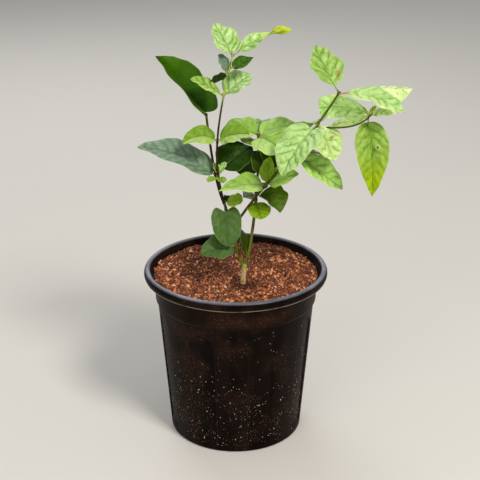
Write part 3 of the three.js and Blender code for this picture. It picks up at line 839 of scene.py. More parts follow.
masses = {
    "outer_tip_leaf": {"limb": "outer_bough", "at": 1, "skin": "deep_leaf", "leaves": [
        # painted shadow: this blade darkens towards its base, standing in for the shadow of the leaf above it
        leaf(171, 49, 57, 38, 2, -30, 44, "bottle", root=0.42, tip=0.6, lobe=0.16, end="deep", point=0.16)]},
    "outer_mid_leaves": {"limb": "outer_bough", "at": 0.41, "skin": "blue_leaf", "leaves": [
        leaf(180, 20, 64, 31, 40, -22, 10, "blue"),
        leaf(30, 25, 31, 31, 30, 25, 10, "dark", stalk=8)]},
    "tall_young_leaves": {"limb": "tall_bough", "at": 0.23, "skin": "light_leaf", "leaves": [
        leaf(222, -12, 9, 8.5, 20, 0, 15, "yellow", tip=0.5, stalk=2, **soft),
        leaf(292, -12, 9, 8.5, 20, 0, 15, "yellow", tip=0.5, stalk=2, **soft),
        leaf(140, 62, 9, 6, 20, 0, 15, "yellow"),
        leaf(40, 50, 10, 8, 20, 0, 15, "pale", tip=0.5, **soft)]},
    "tall_mid_leaves": {"limb": "tall_bough", "at": 0.48, "skin": "light_leaf", "leaves": [
        leaf(200, -2, 29, 17, 85, -45, 10, "grass", paleHalf=1, tip=1, **soft),
        leaf(345, 14, 25, 22, 50, 30, 10, "grass", paleHalf=-1, **soft)]},
    "tall_high_leaves": {"limb": "tall_bough", "at": 0.77, "skin": "pale_leaf", "leaves": [
        leaf(193, 30, 27, 15.5, 16, -28, 14, "yellow", paleHalf=1, root=0.8),
        leaf(28, 28, 25, 25, 25, 16, 15, "cool", tip=0.55)]},
    "tall_top_leaves": {"limb": "tall_bough", "at": 1, "skin": "pale_leaf", "leaves": [
        # One curled leaf drawn as two blades: the grey-blue one is a painted reflection of the sky on its lit
        # face, the dark one its painted shaded half
        leaf(150, 60, 14, 16, 15, 3, 0, "blue", at=0.9, root=0.35, tip=0.5, stalk=2),
        leaf(164, -38, 14.5, 11.5, 54, 36, -12, "dark", at=0.9, root=0.41, tip=0.6, stalk=2),
        leaf(10, 24, 18, 12, 10, 35, 10, "deep", at=0.918, point=0.4),
        leaf(136, 50, 26.5, 27, 20, 0, 10, "pale"),
        leaf(5, 21, 46, 14, 40, 6, 10, "pale", end="lime", twist=-220, stalk=6, root=0.7, point=0.2)]},
    "right_round_leaf": {"limb": "right_stem", "at": 0.585, "skin": "mid_leaf", "leaves": [
        leaf(281, -22, 19.5, 19, 10, 0, 10, "olive", tip=0.5, plain=faded)]},
    "right_low_leaves": {"limb": "right_stem", "at": 0.63, "skin": "mid_leaf", "leaves": [
        leaf(332, -33, 22, 34, 30, 8, 37, "fern", root=0.58, tip=0.7),
        leaf(225, 2, 12, 13, 10, -30, 10, "silver"),
        leaf(100, -10, 34, 26, 30, 0, 10, "mid")]},
    "right_mid_leaves": {"limb": "right_stem", "at": 0.92, "skin": "deep_leaf", "leaves": [
        leaf(305, -60, 23, 27, 20, 0, 10, "brown"),
        leaf(95, -8, 36, 28, 30, 0, 10, "mid"),
        leaf(115, -60, 30, 30, 10, 0, 10, "dark", tip=0.45)]},
    "right_top_leaves": {"limb": "right_stem", "at": 1, "skin": "light_leaf", "leaves": [
        leaf(160, -2, 30, 26, 50, -25, 10, "light", paleHalf=1, **soft),
        leaf(314, -17, 30, 30, 30, 25, 10, "light", paleHalf=-1, lobe=0.15, end="pale", **soft),
        leaf(25, 0, 42, 26, 50, 10, 10, "fresh", **soft),
        leaf(85, 0, 42, 28, 40, 0, 10, "light")]},
    "leaning_low_leaves": {"limb": "leaning_bough", "at": 0.33, "skin": "mid_leaf", "leaves": [
        leaf(195, -3, 36, 23.5, 31, -22, 11, "light", paleHalf=1, root=0.4, tip=1.25, **soft),
        leaf(356, 20, 25, 20, 20, 35, 20, "fresh", **soft),
        leaf(60, 70, 20, 13, 10, 0, 10, "mid", plain=faded)]},
    "leaning_mid_leaves": {"limb": "leaning_bough", "at": 0.58, "skin": "mid_leaf", "leaves": [
        leaf(345, -34, 39, 23, 10, 35, 22, "fresh", stalk=8),
        leaf(42, -18, 38, 23, 30, 0, 10, "mid")]},
    "leaning_high_leaves": {"limb": "leaning_bough", "at": 0.8, "skin": "pale_leaf", "leaves": [
        leaf(226, -41, 44, 36, 30, 0, 10, "pale", lobe=0.16, root=0.42, stalk=8, hole=(0.5, 0.1, 0.9)),
        leaf(304, -50, 29, 26, 20, 10, 10, "cream", patch=(0.4, 0.35, 1.6)),
        leaf(110, -28, 36, 24, 40, 0, 10, "pale")]},
    "leaning_top_leaves": {"limb": "leaning_bough", "at": 1, "skin": "pale_leaf", "leaves": [
        leaf(131, 51, 34, 32, -8, 0, 11, "light", stalk=7, root=0.66, tip=0.88,
             patch=(0.24, -0.5, 3.0), hole=(0.66, -0.5, 0.8)),
        leaf(329, -11, 48, 27, 43, 7, 7, "pale", paleHalf=-1, stalk=7, root=0.61, stalkTone="amber"),
        leaf(11, 0, 49.5, 23, 17, 26, -40, "ivory", stalk=9, root=1.06, tip=0.4, point=0.22)]},
    "side_top_leaves": {"limb": "side_bough", "at": 1, "skin": "light_leaf", "leaves": [
        leaf(152, -2.5, 40, 18.5, 34, -75, 17, "bright", root=0.7, tip=0.3),
        leaf(151, -21, 30.5, 9, -2, -55, -15, "glow", at=0.97, tip=0.4),
        leaf(283, -74, 57, 28, 39, 13, 25, "yellow", end="moss", tip=1.05, at=0.9,
             patch=(0.2, -0.38, 1.4), hole=(0.35, 0.35, 1.0)),
        leaf(350, 8, 17, 10, 20, 20, 10, "glow", stalkTone="amber")],
        "young": {"heading": 60, "pairs": 2, "long": 7.5, "wide": 4.8, "rise": 35}},
    "fork_leaves": {"limb": "tall_bough", "at": 0.035, "skin": "blue_leaf", "leaves": [
        leaf(280, -60, 28, 24.5, 20, 0, 10, "grey", stalk=8, lobe=0.18, root=0.3, tip=0.6, stalkTone="grey"),
        leaf(338, 14, 13.5, 13.5, 10, 35, 10, "olive", tip=0.5, plain=faded),
        leaf(60, -10, 14, 12, 10, 30, 10, "dark")]},
    "left_low_leaves": {"limb": "left_stem", "at": 0.4, "skin": "blue_leaf", "leaves": [
        leaf(205, -5, 28, 24, 20, -30, 10, "grey"),
        leaf(100, 5, 26, 20, 30, 0, 10, "grey")]},
    "right_foot_leaf": {"limb": "right_stem", "at": 0.12, "skin": "deep_leaf", "leaves": [
        leaf(150, 72, 18.5, 15, 20, 0, 10, "brown")]},
}

# Young shoots grow small leaves in crossed pairs by a seeded rule
youngRule = {
    "seed": 23, "turn": 90, "shrink": 0.8, "sway": 30, "lift": 12, "tilt": 10, "droop": 20, "fold": 15,
    "quilt": 0.25, "wave": 0.3, "shade": "lime",
}


# The draws of the solids' own rule
def seededRandom(seed):
    factor, shift, span = 1664525, 1013904223, 2 ** 32
    state = seed
    while True:
        state = (state * factor + shift) % span
        yield state / span


def youngLeaves(young):
    rule = youngRule
    draw = seededRandom(rule["seed"])
    rows = []
    for pair in range(young["pairs"]):
        for facing in (0, 180):
            heading = young["heading"] + facing + pair * rule["turn"] + (next(draw) - 0.5) * rule["sway"]
            rise = young["rise"] + pair * rule["lift"] + (next(draw) - 0.5) * rule["tilt"]
            size = rule["shrink"] ** pair
            rows.append(leaf(heading, rise, young["long"] * size, young["wide"] * size, rule["droop"], 0,
                             rule["fold"], rule["shade"], quilt=rule["quilt"], wave=rule["wave"]))
    return rows


leafStep = 0.45  # how far the nodes of leaves at one tip lie apart


# Each leaf of a mass with the point on its limb that it grows from
def massLeaves(mass):
    rows = list(mass["leaves"])
    if "young" in mass:
        rows += youngLeaves(mass["young"])
    apart = leafStep / limbLength(mass["limb"]) if mass["at"] == 1 else 0
    return [(row, limbPoint(mass["limb"], row["at"] or mass["at"] - apart * (i + 1)), row["at"] or mass["at"])
            for i, row in enumerate(rows)]


# Directions along, across and square to a leaf at places from base to tip
def leafAxes(row, s):
    heading = np.radians(row["heading"]) + 0 * s
    rise = np.radians(row["rise"] + row["droop"] * (0.5 - s))
    roll = np.radians(row["roll"] + row["twist"] * (s - 0.5))[:, None]
    along = np.stack([np.cos(rise) * np.cos(heading), np.cos(rise) * np.sin(heading), np.sin(rise)], -1)
    level = np.stack([-np.sin(heading), np.cos(heading), 0 * s], -1)
    upright = np.cross(along, level)
    side = level * np.cos(roll) + upright * np.sin(roll)
    face = upright * np.cos(roll) - level * np.sin(roll)
    return along, side, face


def midrib(row, foot, s):
    fine = np.linspace(0, 1, 401)
    along = leafAxes(row, fine)[0]
    steps = (along[1:] + along[:-1]) / 2 * np.diff(fine)[:, None] * row["long"]
    path = np.concatenate([np.zeros((1, 3)), np.cumsum(steps, axis=0)])
    base = foot + along[0] * row["stalk"]
    return base + np.stack([np.interp(s, fine, path[:, k]) for k in range(3)], -1)


def halfWidth(row, s):
    peak = row["root"] / (row["root"] + row["tip"])
    drawn = np.clip((1 - s) / row["point"], 0, 1) ** bladeLook["pointPower"]
    return row["wide"] / 2 * (s / peak) ** row["root"] * ((1 - s) / (1 - peak)) ** row["tip"] * drawn


bladeLook = {
    "stations": 84, "veinSpacing": 8.0, "fewestVeins": 4, "slant": 0.85, "endBlend": (0.3, 0.8),
    "pointPower": 0.45, "lobeShare": 0.3, "waveWidth": 26, "seedStep": 3.7,
    "marginDepth": 0.14, "veinStray": 1.3, "veinBow": 1.3, "swellPower": 0.75, "swellFloor": 0.6,
    "inputs": {
        "Columns": 39, "Thickness": 0.42 * mm, "Groove": 0.4 * mm, "Groove Width": 1.1 * mm,
        "Ruffle": 1.3 * mm, "Crinkle": 1.7, "Crinkle Size": 5.5 * mm},
}


# Guide of every leaf in a mass: its midrib, with what the blade needs to know at each point
def leafGuide(rows):
    look = bladeLook
    s = (1 - np.cos(np.linspace(0, math.pi, look["stations"]))) / 2
    even = np.ones(look["stations"])
    cells = math.ceil(math.sqrt(len(rows)))
    parts = []
    for number, (row, foot, _) in enumerate(rows):
        along, side, face = leafAxes(row, s)
        half = halfWidth(row, s)
        blend = eased(s, *look["endBlend"])
        shade, end = leafTones[row["shade"]], leafTones[row["end"] or row["shade"]]
        lobed = np.clip(half / row["wide"] / look["lobeShare"], 0, 1)
        wholeLeaf = {
            "veins": max(look["fewestVeins"], round(row["long"] / look["veinSpacing"])),
            "fold": math.radians(row["fold"]), "bulge": row["bulge"], "long": row["long"] * mm,
            "quilt": row["quilt"] * mm, "wave": row["wave"] * mm * row["wide"] / look["waveWidth"],
            "waves": row["waves"], "paleHalf": row["paleHalf"], "leafNumber": number,
            "leafSeed": number * look["seedStep"] + row["long"],
            "cellX": number % cells, "cellY": number // cells,
        }
        for kind in ("patch", "hole"):
            wholeLeaf[kind + "Along"], wholeLeaf[kind + "Across"], radius = row[kind]
            wholeLeaf[kind + "Radius"] = radius * mm
        parts.append({
            "position": midrib(row, foot, s) * mm, "along": along, "side": side, "face": face,
            "half": half * mm, "place": s, "slant": look["slant"] * half / row["long"],
            "back": row["lobe"] * row["long"] * mm * (1 - s) ** 3 * lobed,
            "tint": blended(shade, end, blend[:, None]),
            "plain": np.maximum(row["plain"], blend * (row["end"] in plainTones)),
            **{name: even * value for name, value in wholeLeaf.items()},
        })
    joined = {key: np.concatenate([part[key] for part in parts]) for key in parts[0]}
    points = joined.pop("position")
    return newMesh("leafGuide", points, attributes=joined), float(cells)


# Noise on a blade: its scale along and across
bladeNoise = {"margin": (7.0, 3.0), "veins": (5.0, 1.5), "ruffle": (2.6, 1.3), "damage": (24.0, 8.0)}
# A leaf's place in its square of the UV map, upper side first
bakeCell = {"gap": 0.03, "long": 0.94, "half": 0.22, "under": 0.5}


# Sweeps a blade along each guide: quilted between its veins, ruffled at its margin, thick in the middle
def bladeTree():
    look = bladeLook
    tree, given, result = newTree("leafBlade", {**look["inputs"], "Cells": 1.0})
    guide = given["Geometry"]
    columns = Field(tree, given["Columns"])
    count = addNode(tree, "GeometryNodeAttributeDomainSize", {"component": "MESH"}, {"Geometry": guide})
    sheet = step(tree, "MeshGrid", {
        "Vertices X": count.outputs["Point Count"], "Vertices Y": given["Columns"]})
    index = Field(tree, tree.nodes.new("GeometryNodeInputIndex").outputs[0])
    station = ((index + 0.5) / columns).calc("FLOOR")
    across = (index - station * columns) / (columns - 1) * 2 - 1

    def fromGuide(name, kind="FLOAT"):
        place = tree.nodes.new("GeometryNodeInputPosition").outputs[0]
        value = place if name == "position" else named(tree, name, kind)
        node = addNode(tree, "GeometryNodeSampleIndex", {"data_type": kind}, {
            "Geometry": guide, "Value": value, "Index": station})
        socket = pick(node.outputs, "Value")
        return Field(tree, socket) if kind == "FLOAT" else socket

    width = across.calc("ABSOLUTE")
    whichHalf = across.calc("SIGN")
    place = fromGuide("place")
    fold = fromGuide("fold")
    seed = fromGuide("leafSeed")

    # noise on the blade, different for each leaf
    def leafNoise(name, sideways=across, key=seed):
        alongScale, acrossScale = bladeNoise[name]
        return noiseField(tree, combined(tree, place * alongScale, sideways * acrossScale, key), 1.0)

    depth = look["marginDepth"]
    half = fromGuide("half") * (leafNoise("margin", whichHalf) * depth + (1 - depth / 2))
    stray = leafNoise("veins", key=seed + 9.0) - 0.5
    staggered = across.calc("GREATER_THAN", 0.0) * 0.5
    reach = place - fromGuide("slant") * width ** look["veinBow"]
    phase = fromGuide("veins") * reach + stray * look["veinStray"] + staggered
    swelling = (phase * math.pi).calc("SINE").calc("ABSOLUTE") ** look["swellPower"]
    inner = width.ease(0.02, 0.3) * width.ease(1.0, 0.6) * place.ease(1.0, 0.75) * place.ease(0.0, 0.1)
    quilt = fromGuide("quilt") * (swelling - look["swellFloor"]) * inner * (stray + 0.9)
    nearRib = across * half / Field(tree, given["Groove Width"])
    groove = Field(tree, given["Groove"]) / (nearRib * nearRib + 1) * place.ease(1.0, 0.6)
    swing = (place * fromGuide("waves") * 2 * math.pi + whichHalf * 0.9 + seed).calc("SINE")
    wave = fromGuide("wave") * width ** 2.0 * swing * place.ease(0.0, 0.25) * place.ease(1.0, 0.85)
    rounded = (across * across + 0.004).calc("SQRT") - 0.063  # width with its crease at the rib rounded off
    arch = half * (rounded * fold.calc("SINE") + fromGuide("bulge") * width * (1 - width) * 2)
    ruffle = (leafNoise("ruffle") - 0.5) * Field(tree, given["Ruffle"]) * 2 * place.ease(0.0, 0.2)
    perMetre = 1 / Field(tree, given["Crinkle Size"])
    spread = combined(tree, place * fromGuide("long") * perMetre, across * half * perMetre, seed)
    crinkle = (noiseField(tree, spread, 1.0) - 0.5) * Field(tree, given["Crinkle"])
    crinkle = crinkle * fromGuide("quilt") * place.ease(0.0, 0.15)
    lift = arch + quilt - groove + wave + ruffle + crinkle
    point = vectorSum(
        tree, fromGuide("position", "FLOAT_VECTOR"),
        scaled(tree, fromGuide("side", "FLOAT_VECTOR"), across * half * fold.calc("COSINE")),
        scaled(tree, fromGuide("face", "FLOAT_VECTOR"), lift),
        scaled(tree, fromGuide("along", "FLOAT_VECTOR"), fromGuide("back") * width ** 1.5 * -1))

    # how far each point lies from a patch or hole in that one's radii, and whether the leaf has one
    def fromDamage(kind):
        radius = fromGuide(kind + "Radius")
        alongGap = (place - fromGuide(kind + "Along")) * fromGuide("long")
        acrossGap = (across - fromGuide(kind + "Across")) * half
        gap = (alongGap * alongGap + acrossGap * acrossGap).calc("SQRT")
        return gap / (radius + 0.00001), radius.calc("GREATER_THAN", 0.0)

    patchGap, patched = fromDamage("patch")
    holeGap, holed = fromDamage("hole")
    ragged = leafNoise("damage") * 1.6 + 0.2
    rim = (1 - width ** 4.0) * (1 - (place * 2 - 1).calc("ABSOLUTE") ** 8.0)
    kept = {
        "veinPhase": phase, "across": across, "place": place, "thick": Field(tree, given["Thickness"]) * rim,
        "patch": (patchGap * ragged).ease(1.0, 0.7) * patched,
        "hole": holeGap.ease(1.0, 0.7) * holed, "ring": holeGap.ease(2.2, 1.3) * holed,
        **{name: fromGuide(name) for name in ("leafNumber", "plain", "paleHalf", "cellX", "cellY")},
    }
    for name, value in kept.items():
        sheet = savedAs(tree, sheet, name, value)
    sheet = savedAs(tree, sheet, "tint", fromGuide("tint", "FLOAT_COLOR"), "FLOAT_COLOR")
    sheet = step(tree, "SetPosition", {"Geometry": sheet, "Position": point})
    # faces between one leaf and the next have a leaf number that isn't whole
    bridge = (named(tree, "leafNumber").calc("FRACT") - 0.5).calc("ABSOLUTE").calc("LESS_THAN", 0.4)
    sheet = step(tree, "DeleteGeometry", {"Geometry": sheet, "Selection": bridge}, {"domain": "FACE"})
    normal = tree.nodes.new("GeometryNodeInputNormal").outputs[0]
    inwards = scaled(tree, normal, named(tree, "thick") * -1)
    under = step(tree, "SetPosition", {"Geometry": sheet, "Offset": inwards})
    under = step(tree, "FlipFaces", {"Mesh": under})
    both = tree.nodes.new("GeometryNodeJoinGeometry")
    cells = Field(tree, given["Cells"])
    for side, skin in ((0.0, sheet), (1.0, under)):
        skin = savedAs(tree, skin, "underside", side, domain="FACE")
        along = named(tree, "place") * bakeCell["long"] + bakeCell["gap"]
        over = (named(tree, "across") + 1) * bakeCell["half"] + bakeCell["gap"] + side * bakeCell["under"]
        corner = combined(
            tree, (named(tree, "cellX") + along) / cells, (named(tree, "cellY") + over) / cells, 0.0)
        skin = savedAs(tree, skin, "OFBake", corner, "FLOAT2", "CORNER")
        tree.links.new(skin, both.inputs[0])
    whole = step(tree, "MergeByDistance", {"Geometry": both.outputs[0], "Distance": 0.00001})
    edge = named(tree, "across").calc("ABSOLUTE").calc("GREATER_THAN", 0.999)
    whole = step(tree, "SetShadeSmooth", {"Geometry": whole}, {"domain": "FACE"})
    whole = step(tree, "SetShadeSmooth", {
        "Geometry": whole, "Selection": edge, "Shade Smooth": False}, {"domain": "EDGE"})
    return finishTree(tree, whole, given, result)


# Leaf skins: vein lines from the blade's own veins, a painted highlight on the swellings between them, a pale
# margin and a duller underside

leafSkins = {
    "pale_leaf": {
        "rough": 0.42, "shine": 0.42, "vein": tone(150, 184, 104), "veinMix": 0.8, "bulgeHighlightMix": 0.45},
    "light_leaf": {
        "rough": 0.42, "shine": 0.42, "vein": tone(150, 184, 100), "veinMix": 0.8, "bulgeHighlightMix": 0.36},
    "mid_leaf": {
        "rough": 0.4, "shine": 0.34, "vein": tone(160, 184, 110), "veinMix": 0.65, "bulgeHighlightMix": 0.32},
    "deep_leaf": {
        "rough": 0.38, "shine": 0.2, "vein": tone(170, 190, 130), "veinMix": 0.35, "bulgeHighlightMix": 0.0},
    "blue_leaf": {
        "rough": 0.36, "shine": 0.28, "vein": tone(170, 186, 140), "veinMix": 0.45, "bulgeHighlightMix": 0.4},
}
leafMarks = {
    # bulge is the colour of the painted highlight on the swellings between veins
    "blotch": tone(186, 205, 150), "bulge": tone(216, 237, 164), "paleHalf": tone(204, 228, 142),
    "margin": tone(206, 220, 150), "underside": tone(170, 186, 120), "ring": tone(214, 224, 168),
    "patch": tone(146, 116, 64), "hole": tone(44, 34, 14),
    "blotchScale": 130.0, "mottleScale": 300.0, "netScale": 620.0, "poreScale": 700.0, "relief": 0.25 * mm,
}


def leafSkin(name):
    look = leafSkins[name]
    marks = leafMarks
    material, tree, shader = newMaterial(name, {})
    place = objectPlace(tree)
    signed = attribute(tree, "across")
    across = signed.calc("ABSOLUTE")
    blotch = noiseField(tree, place, marks["blotchScale"], 4.0)
    mottle = noiseField(tree, place, marks["mottleScale"], 3.0)
    pores = noiseField(tree, place, marks["poreScale"], 2.0)
    lightness = attribute(tree, "tint").ease(0.02, 0.4)
    veined = 1 - attribute(tree, "plain") * 0.8
    under = attribute(tree, "underside")
    phase = attribute(tree, "veinPhase") + (mottle - 0.5) * 0.5
    fromVein = ((phase + 0.5).calc("FRACT") - 0.5).calc("ABSOLUTE")
    lateral = fromVein.ease(0.13, 0.0) * across.ease(0.95, 0.6) * blotch.ease(0.3, 0.55) * veined
    rib = across.ease(0.07, 0.02)
    cells = addNode(tree, "ShaderNodeTexVoronoi", {"feature": "DISTANCE_TO_EDGE"}, {
        "Vector": place, "Scale": marks["netScale"]})
    net = Field(tree, cells.outputs["Distance"]).ease(0.14, 0.0)
    veins = (lateral * 0.8).calc("MAXIMUM", rib) + net * 0.2
    # painted highlight: the swellings between the veins are painted whitish, as where they catch the light
    between = fromVein.ease(0.03, 0.4) * mottle.ease(0.72, 0.36) * lightness * veined
    paler = (signed * attribute(tree, "paleHalf")).ease(0.01, 0.1)
    colour = layered(tree, attribute(tree, "tint", "Color"), [
        (blotch.ease(0.42, 0.68) * 0.5, marks["blotch"], "MULTIPLY"),
        (between * look["bulgeHighlightMix"], marks["bulge"]),
        (paler * 0.42, marks["paleHalf"]),
        (veins * look["veinMix"], look["vein"], "MULTIPLY"),
        (across.ease(0.94, 1.0) * 0.22, marks["margin"]),
        (under * (lightness * 0.12 + 0.04), marks["underside"]),
        (attribute(tree, "ring") * 0.5, marks["ring"]),
        (attribute(tree, "patch") * 0.75, marks["patch"]),
        (attribute(tree, "hole"), marks["hole"]),
    ])
    feed(tree, shader.inputs["Base Color"], colour)
    feed(tree, shader.inputs["Specular IOR Level"], (lightness * 0.75 + 0.25) * veined * look["shine"])
    feed(tree, shader.inputs["Roughness"], blotch * 0.2 + under * 0.15 + (look["rough"] - 0.1))
    bump(tree, shader, pores - veins * 0.8, marks["relief"], 0.7)
    return material


# Bark tubes for limbs, stalks and buds

def tubeTree():
    sizes = {"Sides": 20, "Relief": 0.1, "Grain": 500.0, "Stretch": 0.3}
    tree, given, result = newTree("barkTube", sizes)
    curve = step(tree, "MeshToCurve", {"Mesh": given["Geometry"]})
    ring = step(tree, "CurvePrimitiveCircle", {
        "Resolution": given["Sides"], "Radius": 1.0}, {"mode": "RADIUS"})
    radius = named(tree, "radius")
    tube = step(tree, "CurveToMesh", {
        "Curve": curve, "Profile Curve": ring, "Scale": radius, "Fill Caps": True})
    place = tree.nodes.new("GeometryNodeInputPosition").outputs[0]
    parts = addNode(tree, "ShaderNodeSeparateXYZ", {}, {"Vector": place}).outputs
    drawnOut = Field(tree, parts["Z"]) * Field(tree, given["Stretch"])
    grain = noiseField(tree, combined(tree, parts["X"], parts["Y"], drawnOut), given["Grain"], 3.0)
    normal = tree.nodes.new("GeometryNodeInputNormal").outputs[0]
    raised = scaled(tree, normal, (grain - 0.5) * Field(tree, given["Relief"]) * radius * 2)
    tube = step(tree, "SetPosition", {"Geometry": tube, "Offset": raised})
    tube = step(tree, "SetShadeSmooth", {"Geometry": tube})
    return finishTree(tree, tube, given, result)


# A guide mesh from paths, each a list of points with a radius and a colour at each point
def tubeGuide(paths):
    edges, start = [], 0
    for points, _, _ in paths:
        edges += [(start + i, start + i + 1) for i in range(len(points) - 1)]
        start += len(points)
    points, radii, tints = (np.concatenate([path[k] for path in paths]) for k in range(3))
    return newMesh("tubeGuide", points * mm, edges=edges, attributes={"radius": radii * mm, "tint": tints})


barkTones = {
    "trunk_bark": {
        "low": tone(180, 146, 98), "high": tone(214, 186, 136), "streak": tone(104, 76, 46), "rough": 0.75},
    "green_bark": {
        "low": tone(108, 110, 36), "high": tone(84, 92, 22), "streak": tone(60, 48, 14), "rough": 0.55},
    "brown_bark": {
        "low": tone(44, 33, 6), "high": tone(66, 56, 12), "streak": tone(30, 20, 4), "rough": 0.6},
    "olive_bark": {
        "low": tone(70, 68, 12), "high": tone(86, 102, 18), "streak": tone(40, 36, 8), "rough": 0.55},
}
barkLook = {
    "spacing": 0.6, "fewestRings": 12, "nodeSwell": 0.38, "nodeReach": 1.3, "endRings": (0.5, 0.8, 0.95),
    "sides": 20, "relief": 0.16, "streaks": 900.0, "streakLength": 0.16, "patches": 160.0, "bump": 0.3 * mm,
}


def barkSkin(name):
    tones = barkTones[name]
    material, tree, shader = newMaterial(name, {"Specular IOR Level": 0.1})
    stretch = (1, 1, barkLook["streakLength"])
    streaks = noiseField(tree, objectPlace(tree, stretch), barkLook["streaks"], 4.0)
    patches = noiseField(tree, objectPlace(tree), barkLook["patches"], 2.0)
    colour = layered(tree, attribute(tree, "tint", "Color"), [
        (streaks.ease(0.45, 0.62) * 0.7, tones["streak"]),
        (patches.ease(0.5, 0.75) * 0.35, tones["high"]),
    ])
    feed(tree, shader.inputs["Base Color"], colour)
    feed(tree, shader.inputs["Roughness"], streaks * 0.3 + tones["rough"] - 0.15)
    bump(tree, shader, streaks, barkLook["bump"])
    return material


def limbRadius(row, t):
    plain = row["radii"][0] * (1 - t) + row["radii"][1] * t
    return plain * (1 + row.get("flare", 0) * (1 - t) ** 4 + row.get("swell", 0) * t ** 3)


# A limb's path, swollen at the nodes where leaves grow and rounded off at its end
def limbPath(name):
    row = limbs[name]
    length = limbLength(name)
    t = np.linspace(0, 1, max(barkLook["fewestRings"], round(length / barkLook["spacing"])))
    radius = limbRadius(row, t)
    nodes = {at for mass in masses.values() if mass["limb"] == name for _, _, at in massLeaves(mass)}
    for at in nodes:
        fromNode = (t - at) * length / barkLook["nodeReach"]
        radius = radius * (1 + barkLook["nodeSwell"] * np.exp(-fromNode ** 2))
    points = limbPoint(name, t)
    end, endRadius = points[-1:], radius[-1]
    onward = (points[-1] - points[-2]) / np.linalg.norm(points[-1] - points[-2])
    for share in barkLook["endRings"]:
        points = np.concatenate([points, end + onward * endRadius * share])
        radius = np.append(radius, endRadius * math.sqrt(1 - share ** 2))
    share = np.linspace(0, 1, len(points))[:, None]
    tones = barkTones[row["bark"]]
    tint = blended(tones["low"], tones["high"], share)
    if "tipTone" in row:
        start, full, shade = row["tipTone"]
        tint = blended(tint, leafTones[shade], eased(share, start, full))
    return points, radius, tint


stalkLook = {
    "foot": 0.75, "neck": 0.5, "base": 0.5, "taper": 0.8, "sink": 0.35, "fullWidth": 20, "least": 0.4,
    "free": (0, 0.35, 0.75), "under": (0.06, 0.18, 0.34, 0.52, 0.7, 0.86), "tintSteps": (2, 6),
    "sides": 10, "relief": 0.1, "rough": 0.5, "streak": tone(150, 120, 60), "flecks": 800.0, "bump": 0.2 * mm,
}


# A stalk runs from its limb into the blade and on as the rib on the blade's underside
def stalkPath(row, foot):
    look = stalkLook
    size = min(1, row["wide"] / look["fullWidth"]) * (1 - look["least"]) + look["least"]
    along = leafAxes(row, np.array([0.0]))[0][0]
    free = [foot + along * row["stalk"] * share for share in look["free"]]
    s = np.array(look["under"])
    face = leafAxes(row, s)[2]
    ribs = midrib(row, foot, s) - face * look["sink"]
    points = np.concatenate([free, ribs])
    ribRadius = look["base"] * (1 - s) ** look["taper"]
    radius = np.concatenate([[look["foot"], look["neck"], look["base"]], ribRadius]) * size
    share = eased(np.arange(len(points)), *look["tintSteps"])[:, None]
    return points, radius, blended(leafTones[row["stalkTone"]], leafTones[row["shade"]], share)


budLook = {
    "long": 2.2, "radius": 0.62, "lift": 1.1, "gap": 0.9, "foot": "stalk", "tip": "russet",
    "shares": (0, 0.3, 0.55, 0.8, 0.95, 1), "girth": (0.55, 0.95, 1, 0.62, 0.3, 0.08),
}


# A small bud in the angle between a leaf and its limb
def budPath(row, foot):
    look = budLook
    along = leafAxes(row, np.array([0.0]))[0][0]
    way = along + np.array([0, 0, look["lift"]])
    way /= np.linalg.norm(way)
    share = np.array(look["shares"])[:, None]
    points = foot + along * look["gap"] + way * share * look["long"]
    radius = look["radius"] * np.array(look["girth"])
    return points, radius, blended(leafTones[look["foot"]], leafTones[look["tip"]], share)


def stalkSkin():
    look = stalkLook
    material, tree, shader = newMaterial("leafStalk", {"Specular IOR Level": 0.35})
    flecks = noiseField(tree, objectPlace(tree), look["flecks"], 3.0)
    colour = mixed(tree, flecks.ease(0.5, 0.75) * 0.4, attribute(tree, "tint", "Color"), look["streak"])
    feed(tree, shader.inputs["Base Color"], colour)
    feed(tree, shader.inputs["Roughness"], flecks * 0.2 + look["rough"])
    bump(tree, shader, flecks, look["bump"])
    return material


def makeLimbs(tree):
    barks = {name: barkSkin(name) for name in barkTones}
    for name, row in limbs.items():
        values = {"Sides": barkLook["sides"], "Relief": barkLook["relief"], "Material": barks[row["bark"]]}
        limb = grow(f"{name}_bark", tubeGuide([limbPath(name)]), tree, values)
        settle(limb, name, row["bark"])


def makeFoliage(blades, tubes):
    skins = {name: leafSkin(name) for name in leafSkins}
    stalk = stalkSkin()
    faces = 0
    for name, mass in masses.items():
        rows = massLeaves(mass)
        guide, cells = leafGuide(rows)
        values = {**bladeLook["inputs"], "Cells": cells, "Material": skins[mass["skin"]]}
        blade = grow(f"{name}_blades", guide, blades, values)
        settle(blade, name, mass["skin"])
        paths = [path(row, foot) for row, foot, _ in rows for path in (stalkPath, budPath)]
        values = {"Sides": stalkLook["sides"], "Relief": stalkLook["relief"], "Material": stalk}
        stalks = grow(f"{name}_stalks", tubeGuide(paths), tubes, values)
        settle(stalks, name, mass["skin"])
        faces += len(blade.data.polygons) + len(stalks.data.polygons)
    print("foliage made:", faces, "faces")


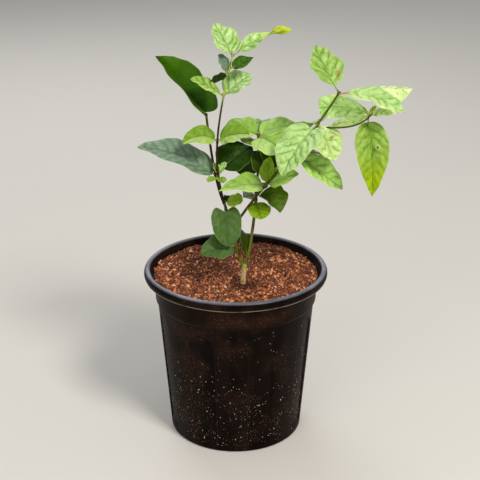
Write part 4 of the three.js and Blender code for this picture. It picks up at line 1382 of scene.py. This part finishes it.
tubes = tubeTree()
makeLimbs(tubes)
print("limbs made")
makeFoliage(bladeTree(), tubes)


# Floor and light

stageLook = {
    "floor": tone(214, 210, 203), "cloud": tone(206, 202, 196), "cloudScale": 6.0, "cloudShare": 0.25,
    "floorSize": 6.0, "floorDrop": 0.4 * mm,
    "world": (0.97, 0.985, 1.0, 1), "worldStrength": 0.4, "aim": (0, 0, 0.2),
    "lights": [
        {"name": "key", "place": (0.7, -1.05, 1.5), "size": 0.45, "power": 25, "colour": (1, 0.96, 0.9)},
        {"name": "fill", "place": (-0.8, -1.5, 0.8), "size": 1.2, "power": 9, "colour": (1, 0.99, 0.97)},
        {"name": "back", "place": (-0.4, 1.2, 1.2), "size": 0.9, "power": 8, "colour": (0.96, 0.98, 1)},
    ],
}


def makeFloor():
    reach = stageLook["floorSize"] / 2
    corners = [(-reach, -reach), (reach, -reach), (reach, reach), (-reach, reach)]
    mesh = newMesh("paleFloor", [(x, y, -stageLook["floorDrop"]) for x, y in corners], faces=[(0, 1, 2, 3)])
    floor = newObject("paleFloor", mesh)
    material, tree, shader = newMaterial("palePlaster", {"Roughness": 0.85, "Specular IOR Level": 0.2})
    cloudy = noiseField(tree, objectPlace(tree), stageLook["cloudScale"], 3.0) * stageLook["cloudShare"]
    feed(tree, shader.inputs["Base Color"], mixed(tree, cloudy, stageLook["floor"], stageLook["cloud"]))
    mesh.materials.append(material)


def makeLights():
    for row in stageLook["lights"]:
        data = bpy.data.lights.new(row["name"], "AREA")
        data.size = row["size"]
        data.energy = row["power"]
        data.color = row["colour"]
        light = newObject(row["name"], data)
        light.location = row["place"]
        way = Vector(stageLook["aim"]) - light.location
        light.rotation_euler = way.to_track_quat("-Z", "Y").to_euler()
    world = bpy.data.worlds.new("softSky")
    world.use_nodes = True
    sky = world.node_tree.nodes["Background"].inputs
    sky["Color"].default_value = stageLook["world"]
    sky["Strength"].default_value = stageLook["worldStrength"]
    scene.world = world
    scene.view_settings.view_transform = "Standard"


makeFloor()
makeLights()
print("stage set")
